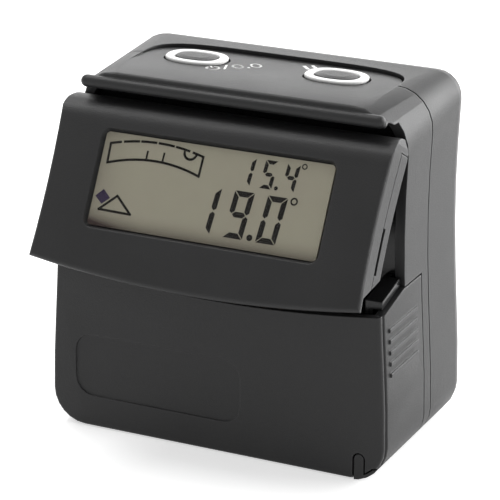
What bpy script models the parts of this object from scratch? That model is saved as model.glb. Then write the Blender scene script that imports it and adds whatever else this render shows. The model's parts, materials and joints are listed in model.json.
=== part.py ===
"""Magnetic digital angle gauge with a flip-out display, modelled piece by piece.

Metres, +Z up. X runs across the front, Y from the front to the rear. The origin is the middle of the
base. The display panel is modelled shut and turned out on its hinge to the angle at which it is used.
"""

import math

import bmesh
import bpy
from mathutils import Matrix, Vector

# Clearances between pieces
SEAM = 0.0003
FIT = 0.00015
OVERRUN = 0.0020

# Cells and their contacts, which set the width of the body
CELL_DIAMETER = 0.0105
CELL_LENGTH = 0.0445
CELL_TIP_DIAMETER = 0.0038
CELL_TIP_HEIGHT = 0.0008
CELL_EDGE = 0.0004
CELL_ROOM = 0.0003
CONTACT_SHEET = 0.0004
SPRING_ROOM = 0.0032
TRAY_WALL = 0.0012
END_ROOM = 0.00045

# Housing
SHELL_WALL = 0.0016
SHELF = 0.0012
WAIST_DEPTH = 0.00135
WAIST_DROP = 0.0083
WAIST_REACH = 0.0330
BODY_DEPTH = 0.0340
FRONT_TOP_CORNER = 0.0087
REAR_TOP_CORNER = 0.0044
BASE_CORNER = 0.0057
REAR_EDGE = 0.0040
FRONT_SHELL_DEPTH = 0.0189
BAND_SETBACK = 0.0095
HOOD_SETBACK = 0.0058
HOOD_EDGE = 0.0006
LIP_DEPTH = 0.0015
LIP_HEIGHT = 0.00275
BEAD_RADIUS = 0.00100
BEAD_REACH = 0.00135
BEAD_END = 0.0033
ARCH_RADIUS = 0.0015
ARCH_RISE = 0.0005

# Battery cover and front plate
COVER_DEPTH = 0.0162
COVER_WALL = 0.0015
COVER_FRONT_WALL = 0.0010
WING_RISE = 0.00155
WING_SLOPE_RUN = 0.0078
PLATE_THICKNESS = 0.00085
PLATE_EDGE = 0.0005
PLATE_GROOVE = 0.00035
PLATE_MARGIN = 0.00015
PLATE_STEP = 0.0009
PLATE_RISE = 0.00255
ARC_RISE = 0.0020

# Display panel, measured down and back from its hinge while it is shut
OPEN_ANGLE = math.radians(28.8)
HINGE_SETBACK = 0.0034
HINGE_DROP = 0.0107
FACE_TO_HINGE = 0.0030
PANEL_DEPTH = 0.0065
BEZEL_DEPTH = 0.0036
PANEL_EDGE = 0.0007
SHOULDER_RADIUS = 0.0050
SHOULDER_RISE = 0.0026
PANEL_GAP = 0.00015
PANEL_CORNER = 0.0060
PANEL_LIP = 0.0010
LIP_ABOVE_PLATE = 0.0023
CHAMFER_RISE = 0.0037
LIP_TO_WINDOW = 0.0042
WINDOW_MARGIN = 0.0097
WINDOW_HEIGHT = 0.01475
WINDOW_ABOVE_HINGE = 0.0014
WINDOW_BEVEL = 0.0006
WINDOW_RADIUS = 0.0012
BEZEL_FRONT_WALL = 0.0012
PANEL_BACK_WALL = 0.0009

# Counts of facets
CORNER_STEPS = 6
SIDE_STEPS = 7
EDGE_STEPS = 4
ROUND_SIDES = 20
SMALL_SIDES = 12
SMOOTH_ANGLE = math.radians(32.0)

# Sizes that follow from the ones above
FRONT_Y = -BODY_DEPTH / 2
REAR_Y = BODY_DEPTH / 2
PARTING_Y = FRONT_Y + FRONT_SHELL_DEPTH
BAND_Y = FRONT_Y + BAND_SETBACK
COVER_Y = FRONT_Y + COVER_DEPTH
COVER_FRONT_Y = FRONT_Y + PLATE_THICKNESS + PLATE_GROOVE
COVER_INNER_Y = COVER_FRONT_Y + COVER_FRONT_WALL
TRAY_HALF = (CELL_LENGTH + SPRING_ROOM) / 2 + CONTACT_SHEET + FIT
CHASSIS_HALF = TRAY_HALF + TRAY_WALL
BODY_WIDTH = 2 * (CHASSIS_HALF + END_ROOM + SHELL_WALL + WAIST_DEPTH)
CELL_RADIUS = CELL_DIAMETER / 2
CELL_Y = COVER_INNER_Y + CELL_ROOM + CELL_RADIUS
LOWER_CELL_Z = COVER_WALL + 2 * CELL_ROOM + CELL_RADIUS
UPPER_CELL_Z = LOWER_CELL_Z + CELL_DIAMETER + CELL_ROOM
SHELF_UNDER = UPPER_CELL_Z + CELL_RADIUS + CELL_ROOM
SHELF_TOP = SHELF_UNDER + SHELF
PLATE_TOP = SHELF_TOP + PLATE_RISE
WING_HEIGHT = PLATE_TOP + WING_RISE
LIP_Z = PLATE_TOP + LIP_ABOVE_PLATE
WINDOW_BOTTOM = LIP_Z + LIP_TO_WINDOW
WINDOW_TOP = WINDOW_BOTTOM + WINDOW_HEIGHT
WINDOW_WIDTH = BODY_WIDTH - 2 * WINDOW_MARGIN
HINGE_Z = WINDOW_TOP - WINDOW_ABOVE_HINGE
HINGE_Y = FRONT_Y + HINGE_SETBACK
BODY_HEIGHT = HINGE_Z + HINGE_DROP
FACE_Y = HINGE_Y - FACE_TO_HINGE
PANEL_BACK_Y = FACE_Y + PANEL_DEPTH
SPLIT_Y = FACE_Y + BEZEL_DEPTH
HOOD_Y = FRONT_Y + HOOD_SETBACK
BEAD_Y = HOOD_Y - BEAD_REACH + BEAD_RADIUS
LIP_UNDER = BODY_HEIGHT - LIP_HEIGHT
BEAD_Z = LIP_UNDER + BEAD_RADIUS
WAIST_Z = HINGE_Z - WAIST_DROP

FINISHES = {
    "black_plastic": ((0.030, 0.030, 0.032), 0.50, 0.0),
    "gloss_plastic": ((0.012, 0.012, 0.013), 0.20, 0.0),
    "white_plastic": ((0.830, 0.830, 0.820), 0.45, 0.0),
    "clear_plastic": ((0.900, 0.920, 0.920), 0.05, 0.0),
    "lcd": ((0.260, 0.250, 0.205), 0.30, 0.0),
    "strip_rubber": ((0.350, 0.130, 0.140), 0.80, 0.0),
    "board": ((0.020, 0.140, 0.060), 0.45, 0.0),
    "chip": ((0.025, 0.025, 0.028), 0.55, 0.0),
    "tinned_steel": ((0.720, 0.720, 0.700), 0.30, 1.0),
    "nickel": ((0.620, 0.600, 0.560), 0.28, 1.0),
    "zinc_screw": ((0.560, 0.560, 0.580), 0.35, 1.0),
    "cell_jacket": ((0.080, 0.220, 0.110), 0.40, 0.0),
    "ribbon_film": ((0.550, 0.250, 0.060), 0.40, 0.0),
}


def clear_scene():
    """Remove whatever the opened file holds."""
    for old in list(bpy.data.objects):
        bpy.data.objects.remove(old, do_unlink=True)


def finish_material(node, finish):
    """One Principled material for one piece."""
    colour, roughness, metallic = FINISHES[finish]
    material = bpy.data.materials.new(node + "_" + finish)
    material.use_nodes = True
    shader = material.node_tree.nodes["Principled BSDF"]
    shader.inputs["Base Color"].default_value = (*colour, 1.0)
    shader.inputs["Roughness"].default_value = roughness
    shader.inputs["Metallic"].default_value = metallic
    return material


def mesh_object(points, faces):
    """A loose closed solid, with its faces turned outwards."""
    mesh = bpy.data.meshes.new("solid")
    mesh.from_pydata([tuple(point) for point in points], [], faces)
    shape = bmesh.new()
    shape.from_mesh(mesh)
    bmesh.ops.recalc_face_normals(shape, faces=shape.faces)
    shape.to_mesh(mesh)
    shape.free()
    solid = bpy.data.objects.new("solid", mesh)
    bpy.context.scene.collection.objects.link(solid)
    return solid


def loft(rings, ring_closes=False):
    """Skin rings of equal length. The ends are capped, or joined to each other for a hoop."""
    count = len(rings[0])
    points = [point for ring in rings for point in ring]
    spans = len(rings) if ring_closes else len(rings) - 1
    faces = []
    for row in range(spans):
        base = row * count
        above = ((row + 1) % len(rings)) * count
        for column in range(count):
            beside = (column + 1) % count
            faces.append((base + column, base + beside, above + beside, above + column))
    if not ring_closes:
        faces.append(tuple(range(count)))
        faces.append(tuple(range(len(points) - count, len(points))))
    return mesh_object(points, faces)


def along(axis, u, v, w):
    """A point from two coordinates across an axis and one along it."""
    if axis == "x":
        return Vector((w, u, v))
    if axis == "y":
        return Vector((u, w, v))
    return Vector((u, v, w))


def prism(axis, profile, low, high):
    """A flat profile drawn out along an axis."""
    return loft([[along(axis, u, v, w) for u, v in profile] for w in (low, high)])


def box(low, high):
    """A block between two corners."""
    profile = [(low[0], low[1]), (high[0], low[1]), (high[0], high[1]), (low[0], high[1])]
    return prism("z", profile, low[2], high[2])


def circle(centre, radius, sides=ROUND_SIDES):
    """Points round a circle."""
    turns = [2 * math.pi * k / sides for k in range(sides)]
    return [(centre[0] + radius * math.cos(t), centre[1] + radius * math.sin(t)) for t in turns]


def arc(centre, radius, start, stop, steps):
    """Points along an arc, with both ends; angles in degrees."""
    angles = [math.radians(start + (stop - start) * k / steps) for k in range(steps + 1)]
    return [(centre[0] + radius * math.cos(a), centre[1] + radius * math.sin(a)) for a in angles]


def rounded(centre, width, height, radius, steps=3):
    """A rectangle with round corners."""
    across = width / 2 - radius
    up = height / 2 - radius
    corners = ((across, up, 0), (-across, up, 90), (-across, -up, 180), (across, -up, 270))
    points = []
    for dx, dy, turn in corners:
        points += arc((centre[0] + dx, centre[1] + dy), radius, turn, turn + 90, steps)
    return points


def oval(centre, width, height, sides=36, fullness=2.4):
    """A superellipse, a little fuller than an ellipse."""
    points = []
    for k in range(sides):
        c = math.cos(2 * math.pi * k / sides)
        s = math.sin(2 * math.pi * k / sides)
        x = width / 2 * math.copysign(abs(c) ** (2 / fullness), c)
        y = height / 2 * math.copysign(abs(s) ** (2 / fullness), s)
        points.append((centre[0] + x, centre[1] + y))
    return points


def turned(axis, centre, profile, sides=ROUND_SIDES):
    """A solid of revolution from (radius, place along the axis) pairs."""
    rings = [[along(axis, u, v, w) for u, v in circle(centre, r, sides)] for r, w in profile]
    return loft(rings)


def rod(axis, centre, radius, low, high, sides=ROUND_SIDES):
    """A plain cylinder."""
    return prism(axis, circle(centre, radius, sides), low, high)


def combine(body, tool, operation):
    """Join a tool to a body or cut it away, and drop the tool."""
    step = body.modifiers.new("step", "BOOLEAN")
    step.operation = operation
    step.solver = "EXACT"
    step.object = tool
    graph = bpy.context.evaluated_depsgraph_get()
    mesh = bpy.data.meshes.new_from_object(body.evaluated_get(graph))
    body.modifiers.clear()
    before = body.data
    body.data = mesh
    bpy.data.meshes.remove(before)
    bpy.data.objects.remove(tool, do_unlink=True)


def join(body, *tools):
    for tool in tools:
        combine(body, tool, "UNION")


def cut(body, *tools):
    for tool in tools:
        combine(body, tool, "DIFFERENCE")


def keep(body, tool):
    combine(body, tool, "INTERSECT")


def place(solid, node, finish, carrier=None):
    """Name a finished piece, give it its material and hang it on what carries it."""
    solid.name = node
    solid.data.name = node
    solid.data.materials.clear()
    solid.data.materials.append(finish_material(node, finish))
    solid.data.shade_smooth()
    solid.data.set_sharp_from_angle(angle=SMOOTH_ANGLE)
    if carrier is not None:
        solid.data.transform(Matrix.Translation(-carrier.location))
        solid.parent = carrier
    return solid


def carrier_at(name, location):
    """An empty on a joint's axis."""
    empty = bpy.data.objects.new(name, None)
    empty.location = location
    empty.empty_display_size = CELL_DIAMETER
    bpy.context.scene.collection.objects.link(empty)
    return empty


# Outline of the body across the front


def waist(z):
    """How far each side is drawn in at a height."""
    share = (z - WAIST_Z) / WAIST_REACH
    return WAIST_DEPTH * max(0.0, 1 - share * share) ** 2


def half_width(z):
    return BODY_WIDTH / 2 - waist(z)


def top_corner(y):
    """Radius of the top corners, which are sharper towards the rear."""
    share = (REAR_Y - y) / (REAR_Y - HOOD_Y)
    return REAR_TOP_CORNER + (FRONT_TOP_CORNER - REAR_TOP_CORNER) * share


def outline(inset, y):
    """The body's outline in X and Z at a depth, drawn in by a distance all round."""
    half = BODY_WIDTH / 2 - inset
    low = inset
    high = BODY_HEIGHT - inset
    base = BASE_CORNER - inset
    top = top_corner(y) - inset
    right = arc((half - base, low + base), base, -90, 0, CORNER_STEPS)
    for k in range(1, SIDE_STEPS):
        right.append((half, low + base + (high - top - low - base) * k / SIDE_STEPS))
    right += arc((half - top, high - top), top, 0, 90, CORNER_STEPS)
    right = [(x - waist(z) * x / half, z) for x, z in right]
    return right + [(-x, z) for x, z in reversed(right)]


def outline_ring(inset, y):
    return [Vector((x, y, z)) for x, z in outline(inset, y)]


def edge_steps(radius, inset=0.0):
    """Insets and setbacks that round an edge, from the face to the side."""
    turns = [math.radians(90 * k / EDGE_STEPS) for k in range(EDGE_STEPS + 1)]
    return [(inset + radius * (1 - math.sin(turn)), radius * (1 - math.cos(turn))) for turn in turns]


def tray(open_y, end_y, edge, wall, end_wall):
    """A shell of the body's outline, open at one end, with its closed end's edge rounded."""
    way = 1 if end_y > open_y else -1
    rings = [outline_ring(inset, end_y - way * back) for inset, back in edge_steps(edge)]
    rings += [outline_ring(0.0, open_y), outline_ring(wall, open_y)]
    inner_edge = edge - wall
    inner_end = end_y - way * end_wall
    if inner_edge > 0:
        steps = edge_steps(inner_edge, wall)
        rings += [outline_ring(inset, inner_end - way * back) for inset, back in reversed(steps)]
    else:
        rings.append(outline_ring(wall, inner_end))
    return loft(rings)


# Screws: places across the body, and the stack that each one clamps
UPPER_BOSS_INSET = 0.0075
UPPER_BOSS_DROP = 0.0075
LOWER_BOSS_INSET = 0.0070
LOWER_BOSS_Z = 0.0075
BOSS_RADIUS = 0.0025
REAR_BOSS_RADIUS = 0.0034
PILOT_RADIUS = 0.00095
SHANK_RADIUS = 0.0008
CLEAR_RADIUS = 0.0012
HEAD_RADIUS = 0.0020
HEAD_HEIGHT = 0.0014
HEAD_WELL_RADIUS = 0.0024
HEAD_SEAT = 0.0030
THREAD_REACH = 0.0030
RIB = 0.0012
DRIVE_WIDTH = 0.0006
DRIVE_LENGTH = 0.0022
DRIVE_DEPTH = 0.0007
TAB_THICKNESS = 0.0013
TAB_DEPTH = 0.0012

BAY_WALL_SETBACK = 0.0108
BAY_WALL = 0.0012
UPPER_BOSS_X = BODY_WIDTH / 2 - UPPER_BOSS_INSET
UPPER_BOSS_Z = BODY_HEIGHT - UPPER_BOSS_DROP
LOWER_BOSS_X = BODY_WIDTH / 2 - LOWER_BOSS_INSET
BAY_FRONT_Y = FRONT_Y + BAY_WALL_SETBACK
BAY_REAR_Y = BAY_FRONT_Y + BAY_WALL
TAB_REAR_Y = PARTING_Y - TAB_DEPTH
TAB_FRONT_Y = TAB_REAR_Y - TAB_THICKNESS
LOWER_JOIN_Y = PARTING_Y - SEAM


def screw(node, centre, seat_y, tip_y, radius=SHANK_RADIUS, head=HEAD_RADIUS, height=HEAD_HEIGHT):
    """A pan-head screw along Y, its head behind the seat and its cross recess facing the rear."""
    rear_y = seat_y + height
    profile = [
        (radius / 2, tip_y),
        (radius, tip_y + radius),
        (radius, seat_y),
        (head, seat_y),
        (head, seat_y + height * 0.55),
        (head * 0.72, rear_y),
    ]
    body = turned("y", centre, profile, SMALL_SIDES)
    long = head / HEAD_RADIUS * DRIVE_LENGTH / 2
    short = head / HEAD_RADIUS * DRIVE_WIDTH / 2
    deep = rear_y - height / HEAD_HEIGHT * DRIVE_DEPTH
    x, z = centre
    cut(
        body,
        box((x - long, deep, z - short), (x + long, rear_y + OVERRUN, z + short)),
        box((x - short, deep, z - long), (x + short, rear_y + OVERRUN, z + long)),
    )
    return place(body, node, "zinc_screw")


# Keypad: buttons, their recess in the hood and the board below
KEYPAD_X = -0.00055
BUTTON_SPACING = 0.0242
BUTTON_Y = 0.00260
BUTTON_WIDTH = 0.0103
BUTTON_HEIGHT = 0.0071
CROWN_WIDTH = 0.0071
CROWN_HEIGHT = 0.0045
RING_HEIGHT = 0.00045
CROWN_DOME = 0.00015
FLANGE_REACH = 0.0007
FLANGE_THICKNESS = 0.0008
BUTTON_STAND = 0.00020
STEM_RADIUS = 0.0018
STEM_LENGTH = 0.0005
RECESS_MARGIN = 0.0072
RECESS_REACH = 0.0206
RECESS_Y = -0.0007
RECESS_DEPTH = 0.0006
RECESS_RUN = 0.0150
RECESS_FULLNESS = 4.6
RECESS_SIDES = 56
SWITCH_SIZE = 0.0060
SWITCH_HEIGHT = 0.0030
PLUNGER_RADIUS = 0.0016
PLUNGER_RISE = 0.0008
PLUNGER_LENGTH = 0.0026
SWITCH_FLOOR = 0.0004
BOARD_THICKNESS = 0.0010
KEYPAD_MARGIN = 0.0045
KEYPAD_REACH = 0.0130
KEYPAD_BOSS_Y = -0.0012
KEYPAD_BOSS_RADIUS = 0.0024

KEYPAD_WIDTH = BUTTON_SPACING + 2 * KEYPAD_MARGIN
HOOD_UNDER = BODY_HEIGHT - SHELL_WALL
FLANGE_TOP = HOOD_UNDER - SEAM
FLANGE_BOTTOM = FLANGE_TOP - FLANGE_THICKNESS
STEM_BOTTOM = FLANGE_BOTTOM - STEM_LENGTH
PLUNGER_TOP = STEM_BOTTOM - FIT
SWITCH_TOP = PLUNGER_TOP - PLUNGER_RISE
SWITCH_BOTTOM = SWITCH_TOP - SWITCH_HEIGHT
KEYPAD_TOP = SWITCH_BOTTOM - FIT
KEYPAD_BOTTOM = KEYPAD_TOP - BOARD_THICKNESS
RECESS_REAR_Y = RECESS_Y + RECESS_REACH / 2
RING_TOP = BODY_HEIGHT + BUTTON_STAND
RING_BOTTOM = RING_TOP - RING_HEIGHT
BUTTONS = (
    ("zero", (KEYPAD_X - BUTTON_SPACING / 2, BUTTON_Y)),
    ("hold", (KEYPAD_X + BUTTON_SPACING / 2, BUTTON_Y)),
)


def recess_floor(y):
    """The keypad recess is deepest at its rear rim and runs out towards the front."""
    return BODY_HEIGHT - RECESS_DEPTH * (1 - (RECESS_REAR_Y - y) / RECESS_RUN)


def recess_oval(grow=0.0):
    width = BODY_WIDTH - 2 * RECESS_MARGIN + 2 * grow
    return oval((0.0, RECESS_Y), width, RECESS_REACH + 2 * grow, RECESS_SIDES, RECESS_FULLNESS)


def lip_bead():
    """The round-ended roll along the front of the hood."""
    tip = BODY_WIDTH / 2 - BEAD_END
    profile = []
    for side in (-1, 1):
        ends = [math.radians(90 * k / EDGE_STEPS) for k in range(1, EDGE_STEPS + 1)]
        cap = [(BEAD_RADIUS * math.sin(a), side * (tip - BEAD_RADIUS * (1 - math.cos(a)))) for a in ends]
        profile += cap if side < 0 else cap[::-1]
    return turned("x", (BEAD_Y, BEAD_Z), profile)


def front_shell():
    """Hood, side bands and base strip in one moulding, with a tongue that carries the keypad."""
    shell = tray(PARTING_Y - SEAM / 2, HOOD_Y, HOOD_EDGE, SHELL_WALL, LIP_DEPTH)
    far = FRONT_Y - OVERRUN
    lip_half = BODY_WIDTH / 2 - BEAD_END - BEAD_RADIUS
    arch = (BEAD_Y + ARCH_RADIUS, LIP_UNDER + ARCH_RISE - ARCH_RADIUS)
    cut(
        shell,
        box((-BODY_WIDTH, far, -OVERRUN), (BODY_WIDTH, BAND_Y, LIP_UNDER)),
        box((-BODY_WIDTH, far, -OVERRUN), (BODY_WIDTH, COVER_Y + SEAM / 2, WING_HEIGHT + SEAM)),
        box((-lip_half, far, -OVERRUN), (lip_half, HOOD_Y + LIP_DEPTH + SEAM, BEAD_Z)),
    )
    for side in (-1, 1):
        cut(shell, rod("x", arch, ARCH_RADIUS, *sorted((side * lip_half, side * BODY_WIDTH))))
    join(shell, lip_bead())
    tongue = prism("z", recess_oval(), HOOD_UNDER, BODY_HEIGHT)
    cut(tongue, box((-BODY_WIDTH, far, 0.0), (BODY_WIDTH, PARTING_Y - SEAM, BODY_HEIGHT + OVERRUN)))
    join(shell, tongue)
    floor = [Vector((x, y, recess_floor(y))) for x, y in recess_oval(FIT)]
    lid = [Vector((x, y, BODY_HEIGHT + OVERRUN)) for x, y in recess_oval(FIT)]
    cut(shell, loft([floor, lid]))
    for name, middle in BUTTONS:
        hole = oval(middle, BUTTON_WIDTH + 2 * SEAM, BUTTON_HEIGHT + 2 * SEAM)
        cut(shell, prism("z", hole, HOOD_UNDER - OVERRUN, BODY_HEIGHT + OVERRUN))
    for side in (-1, 1):
        centre = (side * UPPER_BOSS_X, UPPER_BOSS_Z)
        low_y = BAY_REAR_Y + SEAM
        high_y = TAB_FRONT_Y - SEAM
        root_z = HOOD_UNDER + SHELL_WALL / 4
        rib = box((centre[0] - RIB / 2, low_y, centre[1]), (centre[0] + RIB / 2, high_y, root_z))
        join(shell, rib, rod("y", centre, BOSS_RADIUS, low_y, high_y))
        cut(shell, rod("y", centre, PILOT_RADIUS, low_y + SEAM, high_y + OVERRUN))
    middle = (KEYPAD_X, KEYPAD_BOSS_Y)
    join(shell, rod("z", middle, KEYPAD_BOSS_RADIUS, KEYPAD_TOP + FIT, HOOD_UNDER + SHELL_WALL / 4))
    cut(shell, rod("z", middle, PILOT_RADIUS, KEYPAD_TOP - OVERRUN, HOOD_UNDER - SEAM))
    return place(shell, "front_shell", "black_plastic")


# Magnets in the base of the rear shell
MAGNET_RADIUS = 0.0040
MAGNET_HEIGHT = 0.0028
MAGNET_RECESS = 0.0001
MAGNET_ROOF = 0.0010
MAGNET_END = 0.0095
MAGNET_SETBACK = 0.0088
MAGNET_COUNT = 4


def magnet_places():
    """Centres of the magnets, in a row across the base."""
    start = MAGNET_END - BODY_WIDTH / 2
    spacing = -2 * start / (MAGNET_COUNT - 1)
    return [(start + spacing * k, REAR_Y - MAGNET_SETBACK) for k in range(MAGNET_COUNT)]


def rear_shell():
    """Rear half of the housing, with screw wells, and pockets for the magnets in its base."""
    shell = tray(PARTING_Y + SEAM / 2, REAR_Y, REAR_EDGE, SHELL_WALL, SHELL_WALL)
    pocket_top = MAGNET_RECESS + MAGNET_HEIGHT + FIT
    for centre in magnet_places():
        join(shell, rod("z", centre, MAGNET_RADIUS + MAGNET_ROOF, SHELL_WALL / 2, pocket_top + MAGNET_ROOF))
    for side in (-1, 1):
        upper = (side * UPPER_BOSS_X, UPPER_BOSS_Z)
        lower = (side * LOWER_BOSS_X, LOWER_BOSS_Z)
        for centre, front_y in ((upper, TAB_REAR_Y + SEAM), (lower, LOWER_JOIN_Y + SEAM)):
            seat_y = front_y + HEAD_SEAT
            join(shell, rod("y", centre, REAR_BOSS_RADIUS, front_y, REAR_Y - SHELL_WALL / 2))
            cut(
                shell,
                rod("y", centre, CLEAR_RADIUS, front_y - OVERRUN, seat_y + OVERRUN),
                rod("y", centre, HEAD_WELL_RADIUS, seat_y, REAR_Y + OVERRUN),
            )
    for centre in magnet_places():
        cut(shell, rod("z", centre, MAGNET_RADIUS + FIT, -OVERRUN, pocket_top))
    cut(shell, prism("z", recess_oval(SEAM), HOOD_UNDER - SEAM, BODY_HEIGHT + OVERRUN))
    return place(shell, "rear_shell", "black_plastic")


def magnets():
    for index, centre in enumerate(magnet_places()):
        low = MAGNET_RECESS
        high = low + MAGNET_HEIGHT
        edge = MAGNET_RECESS
        profile = [
            (MAGNET_RADIUS - edge, low),
            (MAGNET_RADIUS, low + edge),
            (MAGNET_RADIUS, high - edge),
            (MAGNET_RADIUS - edge, high),
        ]
        place(turned("z", centre, profile), "magnet_%d" % (index + 1), "nickel")


def housing_screws():
    """Two screws clamp both shells and the chassis at the top, and two reach the chassis below."""
    for side, name in ((-1, "left"), (1, "right")):
        upper_seat = TAB_REAR_Y + SEAM + HEAD_SEAT + FIT
        upper_tip = TAB_FRONT_Y - SEAM - THREAD_REACH
        screw("housing_screw_upper_" + name, (side * UPPER_BOSS_X, UPPER_BOSS_Z), upper_seat, upper_tip)
        lower_seat = LOWER_JOIN_Y + SEAM + HEAD_SEAT + FIT
        lower_tip = LOWER_JOIN_Y - THREAD_REACH
        screw("housing_screw_lower_" + name, (side * LOWER_BOSS_X, LOWER_BOSS_Z), lower_seat, lower_tip)


# Battery cover: a tub with two wings, drawn down off the body
GRIP_RIBS = 5
GRIP_PITCH = 0.0018
GRIP_DROP = 0.0046
GRIP_FRONT = 0.0028
GRIP_LENGTH = 0.0108
GRIP_HEIGHT = 0.0007
GRIP_DEPTH = 0.00030
WING_FRONT_RISE = -0.00020
KEY_INSET = 0.0042
KEY_WIDTH = 0.0016
KEY_HEIGHT = 0.0044
KEY_GAP = 0.00025
KEY_SETBACK = 0.0001
KEY_STRIP = 0.0005
KEY_STRIP_HEIGHT = 0.0022
ARC_STEPS = 16

KEY_X = BODY_WIDTH / 2 - KEY_INSET
GRIP_HIGH = WING_HEIGHT - GRIP_DROP
WING_FRONT_HEIGHT = PLATE_TOP + WING_FRONT_RISE


def arc_top(x, rise=0.0):
    """The front plate's top edge dips in the middle and meets the panel's lower edge."""
    share = x / half_width(PLATE_TOP)
    return PLATE_TOP - ARC_RISE * (1 - share * share) + rise


def above_arc(rise, half, low_y, high_y):
    """Cutter for everything above the arc, out to a distance on both sides."""
    places = [-half + 2 * half * k / ARC_STEPS for k in range(ARC_STEPS + 1)]
    line = [(x, arc_top(x, rise)) for x in places]
    high = BODY_HEIGHT + OVERRUN
    return prism("y", line + [(half, high), (-half, high)], low_y, high_y)


def key_outline(grow):
    """The narrow arch-topped key at the lower right of the front, or the notch round it."""
    half = KEY_WIDTH / 2 + grow
    slot = arc((KEY_X, KEY_HEIGHT - KEY_WIDTH / 2), half, 0, 180, 6)
    return slot + [(KEY_X - half, -OVERRUN), (KEY_X + half, -OVERRUN)]


def corner_strip(inset, grow, low_y, high_y):
    """The rim outside an inset outline, at the lower right corner only."""
    high = KEY_STRIP_HEIGHT + grow
    strip = box((KEY_X, low_y, -OVERRUN), (BODY_WIDTH, high_y, high))
    cut(strip, loft([outline_ring(inset, y) for y in (low_y - OVERRUN, high_y + OVERRUN)]))
    return strip


def battery_cover():
    """Tub cut down to its wings and front wall, with grip ribs and the key that shows in the front."""
    tub = tray(COVER_Y - SEAM / 2, COVER_FRONT_Y, PLATE_GROOVE, COVER_WALL, COVER_FRONT_WALL)
    far = COVER_FRONT_Y - OVERRUN
    high = BODY_HEIGHT + OVERRUN
    slope_y = COVER_FRONT_Y + WING_SLOPE_RUN
    above = [
        (far, WING_FRONT_HEIGHT),
        (COVER_FRONT_Y, WING_FRONT_HEIGHT),
        (slope_y, WING_HEIGHT),
        (COVER_Y + OVERRUN, WING_HEIGHT),
        (COVER_Y + OVERRUN, high),
        (far, high),
    ]
    cut(tub, prism("x", above, -BODY_WIDTH, BODY_WIDTH))
    inner = half_width(PLATE_TOP) - COVER_WALL
    cut(tub, above_arc(-SEAM, inner, far, COVER_INNER_Y + SEAM))
    for side in (-1, 1):
        for k in range(GRIP_RIBS):
            z = GRIP_HIGH - GRIP_PITCH * k
            front = FRONT_Y + GRIP_FRONT
            profile = rounded((side * half_width(z), z), 2 * GRIP_DEPTH, GRIP_HEIGHT, GRIP_DEPTH - FIT, 2)
            join(tub, prism("y", profile, front, front + GRIP_LENGTH))
    key_y = FRONT_Y + KEY_SETBACK
    root_y = COVER_FRONT_Y + COVER_FRONT_WALL / 2
    key = prism("y", key_outline(0.0), key_y, root_y)
    join(key, corner_strip(KEY_STRIP, 0.0, key_y, root_y))
    keep(key, loft([outline_ring(0.0, y) for y in (FRONT_Y, root_y)]))
    join(tub, key)
    return place(tub, "battery_cover", "black_plastic", carriers["cover"])


LABEL_MARGIN = 0.0044
LABEL_WIDTH = 0.0291
LABEL_LOW = 0.0055
LABEL_HIGH = 0.0160
LABEL_RADIUS = 0.0030
LABEL_DEPTH = 0.00025


def front_plate():
    """Thin plate with a rounded rim and a dipped top edge, a label recess and a notch for the key."""
    back_y = FRONT_Y + PLATE_THICKNESS
    rings = [outline_ring(inset, FRONT_Y + back) for inset, back in edge_steps(PLATE_EDGE, PLATE_MARGIN)]
    rings.append(outline_ring(PLATE_MARGIN, back_y))
    rings += [outline_ring(PLATE_STEP, y) for y in (back_y, COVER_FRONT_Y)]
    plate = loft(rings)
    near = FRONT_Y - OVERRUN
    rear = COVER_FRONT_Y + OVERRUN
    cut(plate, above_arc(0.0, BODY_WIDTH / 2 + OVERRUN, near, rear))
    middle = (LABEL_MARGIN + LABEL_WIDTH / 2 - BODY_WIDTH / 2, (LABEL_LOW + LABEL_HIGH) / 2)
    recess = rounded(middle, LABEL_WIDTH, LABEL_HIGH - LABEL_LOW, LABEL_RADIUS, 4)
    cut(plate, prism("y", recess, near, FRONT_Y + LABEL_DEPTH))
    cut(plate, prism("y", key_outline(KEY_GAP), near, rear))
    cut(plate, corner_strip(KEY_STRIP + KEY_GAP, KEY_GAP, near, rear))
    return place(plate, "front_plate", "black_plastic", carriers["cover"])


# Chassis: display bay, shelf, cell troughs, hinge ears and board posts in one moulding
SHELF_FILLET = 0.0040
TROUGH_ANGLE = 48
TROUGH_WALL = 0.0014
EAR_INSET = 0.0054
EAR_THICKNESS = 0.0016
EAR_RADIUS = 0.0015
EAR_GUSSET = 0.0010
PIN_RADIUS = 0.0008
PIN_ROOM = 0.00008
CHEEK_REAR_RISE = 0.00315
CHEEK_FRONT_RISE = 0.00155
CHEEK_REAR = 0.0016
CHEEK_RIM_INSET = 0.0007
POST_RADIUS = 0.0022
POST_INSET = 0.0045
POST_HIGH_INSET = 0.0038
POST_LOW_INSET = 0.0028
MAIN_BOARD_GAP = 0.0007
BOARD_DEPTH = 0.0016
RIBBON_WIDTH = 0.0080
RIBBON_SLOT = 0.0020
RIBBON_DROP = 0.0108
MAIN_BOARD_INSET = 0.0085
MAIN_BOARD_LOW = 0.0112
MAIN_BOARD_DROP = 0.0112

EAR_X = BODY_WIDTH / 2 - EAR_INSET
CHEEK_REAR_HEIGHT = PLATE_TOP + CHEEK_REAR_RISE
CHEEK_FRONT_HEIGHT = PLATE_TOP + CHEEK_FRONT_RISE
TROUGH_RADIUS = CELL_RADIUS + CELL_ROOM
TROUGH_BACK_Y = CELL_Y + TROUGH_RADIUS + TROUGH_WALL
RIBBON_Z = HINGE_Z - RIBBON_DROP
MAIN_BOARD_Y = PARTING_Y + MAIN_BOARD_GAP
MAIN_BOARD_HALF = BODY_WIDTH / 2 - MAIN_BOARD_INSET
MAIN_BOARD_HIGH = BODY_HEIGHT - MAIN_BOARD_DROP
CHASSIS_FRONT_Y = COVER_INNER_Y + FIT


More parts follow.
